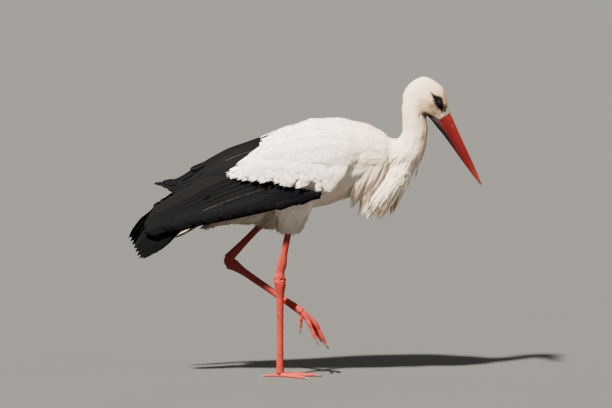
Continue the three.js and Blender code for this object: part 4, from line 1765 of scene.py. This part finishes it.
@dataclass
class Ground:
    """The surface that small feathers lie on: the skin and the long feathers beside it."""

    skin: Skin
    beside: list[bpy.types.Object]

    def __post_init__(self) -> None:
        """Builds the search trees."""
        points, faces = [self.skin.points], [self.skin.triangles]
        start = len(self.skin.points)
        flight_points, flight_faces = [], []
        for piece in self.beside:
            bm = merged(piece.data)
            bmesh.ops.triangulate(bm, faces=bm.faces)
            bm.verts.index_update()
            own = np.array([vertex.co[:] for vertex in bm.verts]) / MM
            corners = np.array([[vertex.index for vertex in face.verts] for face in bm.faces])
            bm.free()
            flight_faces.append(corners + sum(len(p) for p in flight_points))
            flight_points.append(own)
            points.append(own)
            faces.append(corners + start)
            start += len(own)
        self.corners = np.vstack(faces)
        places = np.vstack(points)
        self.tree = BVHTree.FromPolygons(places.tolist(), self.corners.tolist())
        self.flight = BVHTree.FromPolygons(np.vstack(flight_points).tolist(), np.vstack(flight_faces).tolist())
        plane = unit(
            np.cross(
                places[self.corners[:, 1]] - places[self.corners[:, 0]],
                places[self.corners[:, 2]] - places[self.corners[:, 0]],
            )
        )
        on_skin = len(self.skin.triangles)
        plane[:on_skin] = unit(self.skin.normals[self.skin.triangles].mean(1))
        self.facing = plane

    def nearest(self, points: Array) -> tuple[Array, Array, Array]:
        """The nearest place of the ground, its normal and its distance, for each point."""
        found = [self.tree.find_nearest(point) for point in points.tolist()]
        index = np.array([hit[2] for hit in found])
        return np.array([hit[0] for hit in found]), self.facing[index], np.array([hit[3] for hit in found])

    def covered(self, points: Array, normals: Array, reach: float) -> Array:
        """Whether a long feather lies over each point within reach."""
        starts = (points + normals * 1.5).tolist()
        hits = [self.flight.ray_cast(start, way, reach)[0] for start, way in zip(starts, normals.tolist())]
        return np.array([hit is not None for hit in hits])


@dataclass
class Coat:
    """The small feathers all over the skin."""

    skin: Skin
    ground: Ground
    lie: Lie
    steps: int = 5
    crowd: float = 6.0
    swells: float = 65.0
    patch: float = 0.003
    seed: int = 5
    finish: WhitePlumage = WhitePlumage("plumage_coat")
    corner: Triple = (-128, 58, 467)
    plume_tips: tuple[Triple, ...] = (
        (156, 10, 386),
        (177, 6, 364),
        (198, 16, 364),
        (223, 4, 357),
        (246, 6, 359),
        (262, 10, 396),
        (305, 3, 448),
    )
    plume_across: tuple[float, float] = (0.77, -0.64)
    plume_reach: tuple[float, float] = (-163, -62)
    plume_low: Triple = (184, -90, 385)
    plume_high: Triple = (345, 90, 522)
    tip_reach: tuple[float, float] = (-130, -40)
    plume_spacing: float = 3.7
    plume_shortest: float = 34.0
    plume_length: float = 170.0
    plume_layers: tuple[tuple[float, float], ...] = ((27, 3), (42, 9))
    plume_cling: float = 0.3

    def build(self) -> None:
        """Grows every tract, and the rows along the edges of the white."""
        self.chance = np.random.default_rng(self.seed)
        self.material = self.finish.make()
        roots, normals, weights = self._scatter()
        sizes = weights @ np.array([tract.numbers() for tract in TRACTS])
        grade = np.clip((roots[:, 0] + 150) / 350, 0, 1)
        scale = sizes[:, 4] + (sizes[:, 5] - sizes[:, 4]) * grade
        scale *= self._face(roots)
        lengths, halves = sizes[:, 0] * scale, sizes[:, 1] * scale
        kept = self._spaced(roots, sizes[:, 2] * scale)
        kept &= self._patch(roots) > 0.95
        kept[kept] &= ~self.ground.covered(roots[kept], normals[kept], 24)
        own = weights.argmax(1)
        for index, tract in enumerate(TRACTS):
            mine = kept & (own == index)
            room = (roots[:, 0] - tract.rear) / 0.85
            if tract.hem:
                hem = np.interp(roots[:, 0], *np.array(tract.hem).T) + self.chance.uniform(0, 20, len(roots))
                room = np.minimum(room, (roots[:, 2] - hem) / 0.85)
            mine &= room > 7
            stretch = self.chance.uniform(0.85, 1.15, int(mine.sum()))
            reach = np.minimum(lengths[mine] * stretch, room[mine])
            spines = self._march(roots[mine], normals[mine], reach, sizes[mine, 6], sizes[mine, 7])
            self._gather(roots[mine], spines[0], tract.lock, tract.pull)
            if tract.name == "head":
                short = np.where(self._patch(spines[0][:, -1]) < 1, 0.45, 1.0)[:, None, None]
                spines[0][:] = spines[0][:, :1] + (spines[0] - spines[0][:, :1]) * short
            self._piece(f"{tract.name}_coat", tract, tract.cut, roots[mine], spines, halves[mine], sizes[mine, 3])
        self._rows()
        self._plumes(roots, normals)

    def _rows(self) -> None:
        """Lays the rows of larger feathers over the edges of the white."""
        for side in Side:
            tract = next(tract for tract in TRACTS if tract.name == f"wing_{side.word}")
            for number, row in enumerate(ROWS):
                line = Path(np.array(row.tips) * [1, side.value, 1])
                way = unit(np.array(row.way, float))
                tips, lifts = [], []
                for layer in range(row.layers):
                    share = (np.arange(row.count) + 0.5 * (layer % 2)) / (row.count - 1)
                    tips.append(line.at(share) - way * layer * row.step)
                    lifts.append(np.full(row.count, tract.depth + row.rise * (layer + 0.5)))
                aims, depth = np.concatenate(tips), np.concatenate(lifts)
                count = len(aims)
                aims += self.chance.normal(0, 1.3, aims.shape) - way * self.chance.uniform(0, 7, count)[:, None]
                corner = np.linalg.norm(aims - self.corner * np.array([1, side.value, 1]), axis=1)
                length = row.length * self.chance.uniform(0.85, 1.1, count)
                starts = aims - way * length[:, None] + [0, 6 * side.value, 0]
                roots, normals, _ = self.ground.nearest(starts)
                zero = np.zeros(count)
                reach = np.linalg.norm(aims - roots, axis=1)
                spines = self._march(roots, normals, reach, zero, zero, aims, row.cling)
                sound = np.linalg.norm(spines[0][:, -1] - aims, axis=1) < 9
                sound &= reach > row.length * 0.45
                halves = row.half * self.chance.uniform(0.75, 1.15, count) * (0.45 + 0.55 * eased(corner, 0, 60))
                spines = (spines[0][sound], spines[1][sound])
                name = f"wing_edge_{number}_{side.word}"
                self._piece(name, tract, SCALLOP, roots[sound], spines, halves[sound], depth[sound])

    def _plumes(self, roots: Array, normals: Array) -> None:
        """Hangs the long plumes from the foot of the neck, so that they end in separate tips."""
        slope = np.array(self.plume_across)
        across = roots[:, [0, 2]] @ slope
        inside = np.all((roots > np.array(self.plume_low)) & (roots < np.array(self.plume_high)), axis=1)
        picked = np.flatnonzero(inside & (across > self.plume_reach[0]) & (across < self.plume_reach[1]))
        picked = picked[self._spaced(roots[picked], np.full(len(picked), self.plume_spacing))]
        picked = picked[across[picked].argsort()]
        share = np.linspace(0, 1, len(picked))
        wanted = self.tip_reach[0] + share * (self.tip_reach[1] - self.tip_reach[0])
        tips = np.array(self.plume_tips, float)
        layers = [tips] + [tips * [1, 0, 1] + [0, out, rise] for out, rise in self.plume_layers]
        tips = np.vstack([layer * [1, side.value, 1] for layer in layers for side in Side])
        cost = np.abs(wanted[:, None] - (tips[:, [0, 2]] @ slope)[None]) / 7
        cost += np.abs(roots[picked, None, 1] * 0.75 - tips[None, :, 1]) / 8
        cost += self.chance.uniform(0, 1.2, cost.shape)
        cost += 4.0 * (roots[picked, None, 0] < tips[None, :, 0] + 12)
        aims = tips[cost.argmin(1)] + self.chance.normal(0, 2.0, (len(picked), 3))
        length = np.linalg.norm(aims - roots[picked], axis=1) * self.chance.uniform(0.80, 1.0, len(picked))
        far = length > self.plume_shortest
        picked, aims, length = picked[far], aims[far], np.minimum(length[far], self.plume_length)
        one = np.ones(len(picked))
        spines = self._march(roots[picked], normals[picked], length, one, one * 0.05, aims, self.plume_cling)
        ways = unit(np.diff(spines[0], axis=1))
        flat = np.abs(np.sum(ways * spines[1][:, 1:], axis=2)).max(1) < 0.97
        picked, one, spines = picked[flat], one[flat], (spines[0][flat], spines[1][flat])
        tract = next(tract for tract in TRACTS if tract.name == "plumes")
        depth = one * (tract.depth + 1.0) + self.chance.uniform(-0.8, 1.6, len(picked))
        halves = self.chance.uniform(3.2, 5.0, len(picked))
        self._piece("long_plumes", tract, LANCE, roots[picked], spines, halves, depth)

    def _gather(self, roots: Array, points: Array, apart: float, pull: float) -> None:
        """Draws the ends of feathers together into locks.

        Args:
            roots: Where the feathers spring from.
            points: Their shafts, which are changed.
            apart: The spacing of the locks.
            pull: How strongly the ends are drawn to the middle of their lock.
        """
        order = self.chance.permutation(len(roots))
        leads = order[self._spaced(roots[order], np.full(len(roots), apart))]
        tree = KDTree(len(leads))
        for number, lead in enumerate(leads):
            tree.insert(roots[lead], number)
        tree.balance()
        jitter = roots + self.chance.normal(0, apart * 0.12, roots.shape)
        lead = leads[[tree.find(root)[1] for root in jitter]]
        share = (np.arange(points.shape[1]) / (points.shape[1] - 1)) ** 1.4 * pull
        offset = points[:, :1] - points[lead][:, :1]
        flow = points[lead] + offset
        target = points[lead] + offset * 0.25
        points += (target - flow) * share[None, :, None]

    def _scatter(self) -> tuple[Array, Array, Array]:
        """Random roots on the skin, crowded where the feathers are small, with their normals and weights."""
        corners = self.skin.triangles
        a, b, c = (self.skin.points[corners[:, i]] for i in range(3))
        area = np.linalg.norm(np.cross(b - a, c - a), axis=1) / 2
        spacing = self.skin.weights @ np.array([tract.spacing for tract in TRACTS]) * self._face(self.skin.points)
        spacing = spacing[corners].mean(1)
        share = area / spacing**2
        count = int(share.sum() * self.crowd)
        chosen = self.chance.choice(len(corners), count, p=share / share.sum())
        u, v = self.chance.random(count), self.chance.random(count)
        over = u + v > 1
        u[over], v[over] = 1 - u[over], 1 - v[over]
        blend = np.stack([1 - u - v, u, v], 1)[..., None]
        pick = corners[chosen]
        return (
            (self.skin.points[pick] * blend).sum(1),
            unit((self.skin.normals[pick] * blend).sum(1)),
            (self.skin.weights[pick] * blend).sum(1),
        )

    @staticmethod
    def _spaced(points: Array, apart: Array) -> Array:
        """Which of the points to keep so that none is nearer another than its spacing."""
        cell = float(apart.max())
        homes = np.floor(points / cell).astype(int).tolist()
        near = [(i, j, k) for i in (-1, 0, 1) for j in (-1, 0, 1) for k in (-1, 0, 1)]
        taken: dict[tuple[int, int, int], list[tuple[float, float, float]]] = {}
        kept = np.zeros(len(points), bool)
        for index, ((x, y, z), (i, j, k), gap) in enumerate(zip(points.tolist(), homes, apart.tolist())):
            limit = gap * gap
            if all(
                (x - a) ** 2 + (y - b) ** 2 + (z - c) ** 2 >= limit
                for di, dj, dk in near
                for a, b, c in taken.get((i + di, j + dj, k + dk), ())
            ):
                taken.setdefault((i, j, k), []).append((x, y, z))
                kept[index] = True
        return kept

    def _patch(self, points: Array) -> Array:
        """How far each point lies from the middle of the bare patch about the eye, its rim being 1."""
        centre, radii, tilt = self.finish.markings.patch
        ahead, up = points[:, 0] - centre[0], points[:, 2] - centre[1]
        c, s = math.cos(math.radians(tilt)), math.sin(math.radians(tilt))
        apart = np.hypot((ahead * c + up * s) / radii[0], (up * c - ahead * s) / radii[1])
        return np.where(np.abs(points[:, 1]) > 8, apart, 9.0)

    def _face(self, points: Array) -> Array:
        """How the feathers shrink towards the eyes and the foot of the bill."""
        centre = np.array(self.skin.eye.centre)
        apart = np.linalg.norm(np.abs(points * [1, 0, 1] + [0, 1, 0] * np.abs(points)) - centre, axis=1)
        return 0.42 + 0.58 * eased(apart, 10, 55)

    def _march(
        self,
        roots: Array,
        normals: Array,
        lengths: Array,
        hang: Array,
        swirl: Array,
        aims: Array | None = None,
        cling: float = 0.92,
    ) -> tuple[Array, Array]:
        """Lays each feather's shaft along the ground, step by step.

        Args:
            roots: Where the feathers spring from.
            normals: The skin's normals there.
            lengths: Their lengths.
            hang: How far they hang free where the ground turns under.
            swirl: How far their directions stray, in radians.
            aims: A point for each to hang towards, if any.
            cling: How closely they keep to the ground elsewhere.

        Returns:
            The points of the shafts and the ground's normals there.
        """
        stray = self.chance.normal(0, 1, len(roots))[:, None] * swirl[:, None]
        place, normal = roots, normals
        heading = self._way(place, normal, stray, aims)
        points, facing = [place], [normal]
        for step in range(1, self.steps + 1):
            share = step / self.steps
            free = place + heading * (lengths / self.steps)[:, None]
            hit, hit_normal, apart = self.ground.nearest(free)
            agree = np.clip(np.sum(hit_normal * normal, axis=1) * 2.5 - 0.5, 0, 1)
            under = 1 - hang * eased(-hit_normal[:, 2], 0.15, 0.5)
            keep = cling * (1 - 0.25 * share**2) * agree * under * np.clip(2.2 - apart / 6, 0, 1)
            if aims is not None:
                sunk = np.sum((free - hit) * hit_normal, axis=1) < 0
                keep = np.where(sunk & (apart < 25), 0.98, keep)
            landed = free + (hit - free) * keep[:, None]
            normal = unit(normal + hit_normal * (0.2 + 1.2 * keep)[:, None])
            moved = unit(landed - place)
            way = self._way(landed, normal, stray, aims)
            if aims is not None:
                close = np.linalg.norm(aims - landed, axis=1, keepdims=True) < 12
                way = np.where(close, moved, way)
            heading = unit(moved * (0.6 if aims is None else 0.35) + way * 0.5)
            heading = unit(heading - normal * (np.sum(heading * normal, axis=1) * 0.8 * keep)[:, None])
            place = landed
            points.append(place)
            facing.append(normal)
        return np.stack(points, 1), np.stack(facing, 1)

    def _way(self, place: Array, normal: Array, stray: Array, aims: Array | None) -> Array:
        """The direction that a feather takes at a place."""
        way = self.lie.at(place, normal) if aims is None else unit(aims - place)
        return unit(way + np.cross(normal, way) * stray)

    def _piece(
        self, name: str, tract: Tract, cut: Cut, roots: Array, spines: tuple[Array, Array], halves: Array, depth: Array
    ) -> None:
        """Makes one coat piece of many feathers along their shafts."""
        patterns = [cut.pattern(self.chance) for _ in range(6)]
        which = self.chance.integers(0, len(patterns), len(roots))
        blocks: dict[str, list[Array]] = {key: [] for key in ("points", "faces", "root", "tone", "vane", "bake")}
        start = 0
        tones = self.chance.random(len(roots))
        homes = self._unwrap(tract, roots)
        x, y, z = (roots * MM * self.swells).T
        uneven = 1 + 0.28 * np.sin(x + z * 1.4) * np.sin(z * 1.2 - x * 0.6 + y)
        for index, (pattern, faces) in enumerate(patterns):
            mine = which == index
            count = int(mine.sum())
            if not count:
                continue
            along, across, height = pattern.T
            weights = Path(np.eye(self.steps + 1)).at(along)
            shaft = np.einsum("tk,fkc->ftc", weights, spines[0][mine])
            normal = unit(np.einsum("tk,fkc->ftc", weights, spines[1][mine]))
            ahead = np.gradient(spines[0][mine], axis=1)
            ahead = unit(np.einsum("tk,fkc->ftc", weights, ahead))
            side = unit(np.cross(normal, ahead))
            rise = (depth * uneven)[mine][:, None] * (1.12 * along[None] ** 0.62 - 0.18) + height[None] * 0.6
            rise += (tones[mine][:, None] - 0.5) * 0.35 * along[None]
            points = shaft + side * (across[None] * halves[mine][:, None])[..., None] + normal * rise[..., None]
            blocks["points"].append(points.reshape(-1, 3))
            blocks["faces"].append(
                (faces[None] + (start + np.arange(count) * len(pattern))[:, None, None]).reshape(-1, 3)
            )
            blocks["root"].append(np.repeat(roots[mine], len(pattern), 0))
            blocks["tone"].append(np.repeat(tones[mine], len(pattern)))
            vane = np.stack([across * 0.5 + 0.5, along], 1)
            blocks["vane"].append(np.tile(vane, (count, 1)))
            bake = homes[mine][:, None, :] + self.patch * (vane[None] - 0.5)
            blocks["bake"].append(bake.reshape(-1, 2))
            start += count * len(pattern)
        joined = {key: np.concatenate(block) for key, block in blocks.items()}
        mesh = mesh_from_arrays(name, joined["points"], joined["faces"])
        set_map(mesh, "OFBake", np.clip(joined["bake"], 0.001, 0.999))
        set_map(mesh, "Vane", joined["vane"])
        place = mesh.attributes.new("root", "FLOAT_VECTOR", "POINT")
        place.data.foreach_set("vector", (joined["root"] * MM).astype(np.float32).ravel())
        tone = mesh.attributes.new("tone", "FLOAT", "POINT")
        tone.data.foreach_set("value", joined["tone"].astype(np.float32))
        replaced = {"plumes_coat": ["breast_plumes"], "vent_coat": ["tail"]}.get(name, [])
        place_piece(name, mesh, self.material, replaced)

    def _unwrap(self, tract: Tract, roots: Array) -> Array:
        """The place of each root on the skin unrolled about the tract's own length."""
        middle = roots.mean(0)
        _, _, ways = np.linalg.svd(roots - middle, full_matrices=False)
        along, one, two = ((roots - middle) @ ways.T).T
        spread = (along - along.min()) / max(float(np.ptp(along)), 1e-6)
        return np.stack([np.arctan2(one, two) / (2 * np.pi) + 0.5, spread], 1) * 0.99 + 0.005


# ---- studio ---------------------------------------------------------------------------------------


@dataclass
class Studio:
    """The floor, the lights and the camera."""

    target: Triple = (59.8, 0, 400)
    distance: float = 16.0
    elevation: float = 6.0
    width: float = 1.4076
    sensor: float = 36.0
    floor_size: float = 60.0
    floor: PlainFloor = PlainFloor("studio_floor")

    def camera(self) -> None:
        """Sets up the camera, which looks along +Y from a little above."""
        lens = bpy.data.cameras.new("camera")
        lens.sensor_width = self.sensor
        lens.lens = self.sensor * self.distance / self.width
        lens.clip_start, lens.clip_end = 0.1, 200.0
        camera = bpy.data.objects.new("camera", lens)
        angle = math.radians(self.elevation)
        back = Vector((0.0, -math.cos(angle), math.sin(angle)))
        camera.location = Vector(self.target) * MM + back * self.distance
        camera.rotation_euler = (math.pi / 2 - angle, 0.0, 0.0)
        bpy.context.scene.collection.objects.link(camera)
        bpy.context.scene.camera = camera

    def light(self, name: str, strength: float, softness: float, way: Triple, colour: Triple) -> None:
        """Adds a broad distant light.

        Args:
            name: Its name.
            strength: Its power.
            softness: Its breadth, in degrees.
            way: Where it shines from.
            colour: Its colour.
        """
        lamp = bpy.data.lights.new(name, "SUN")
        lamp.energy, lamp.angle, lamp.color = strength, math.radians(softness), colour
        holder = bpy.data.objects.new(name, lamp)
        holder.rotation_euler = Vector(way).to_track_quat("Z", "Y").to_euler()
        bpy.context.scene.collection.objects.link(holder)

    def build(self) -> None:
        """Makes the studio."""
        bm = bmesh.new()
        bmesh.ops.create_grid(bm, x_segments=1, y_segments=1, size=self.floor_size / 2)
        floor = bpy.data.objects.new("floor", mesh_of(bm, "floor"))
        floor.data.materials.append(self.floor.make())
        bpy.context.scene.collection.objects.link(floor)
        world = bpy.data.worlds.new("studio")
        world.use_nodes = True
        sky = world.node_tree.nodes["Background"]
        sky.inputs["Color"].default_value = (1.0, 0.95, 0.85, 1)
        sky.inputs["Strength"].default_value = 0.40
        bpy.context.scene.world = world
        self.light("key", 29.0, 4, (-0.43, -0.59, 1.0), (1.0, 0.95, 0.865))
        self.light("fill", 0.5, 60, (0.9, -0.7, 0.35), (0.97, 0.97, 1.0))
        self.camera()


def main() -> None:
    """Builds the bird piece by piece and reports each."""
    logging.basicConfig(level=logging.INFO, format="%(message)s")
    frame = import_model()
    nodes = frame["nodes"]
    Studio().build()
    eye = Eye()
    eye.build()
    Bill().build()
    # The raised leg takes more painted shade all over, and its painted shade starts lower.
    dull = LegSkin("leg_skin_shaded", shade=0.25, dusk=0.19)
    Leg(Side.RIGHT, (43, -42, 458), (-2.5, -15.5, 227), (0, -15, 224), (0, 0, 8), 9.4, True, LegSkin("leg_skin")).build()
    Leg(Side.LEFT, (46, 42, 441), (-121, 58, 266), (-114, 58, 257), (50, 20, 148), 8.2, False, dull).build()
    flight = [nodes[f"{group}_{side.word}"] for group in ("tertials", "secondaries", "primaries") for side in Side]
    skin = Skin(nodes, eye)
    skin.build()
    Coat(skin, Ground(skin, flight), Lie()).build()
    Wings().build()
    Tail().build()


if __name__ == "__main__":
    main()
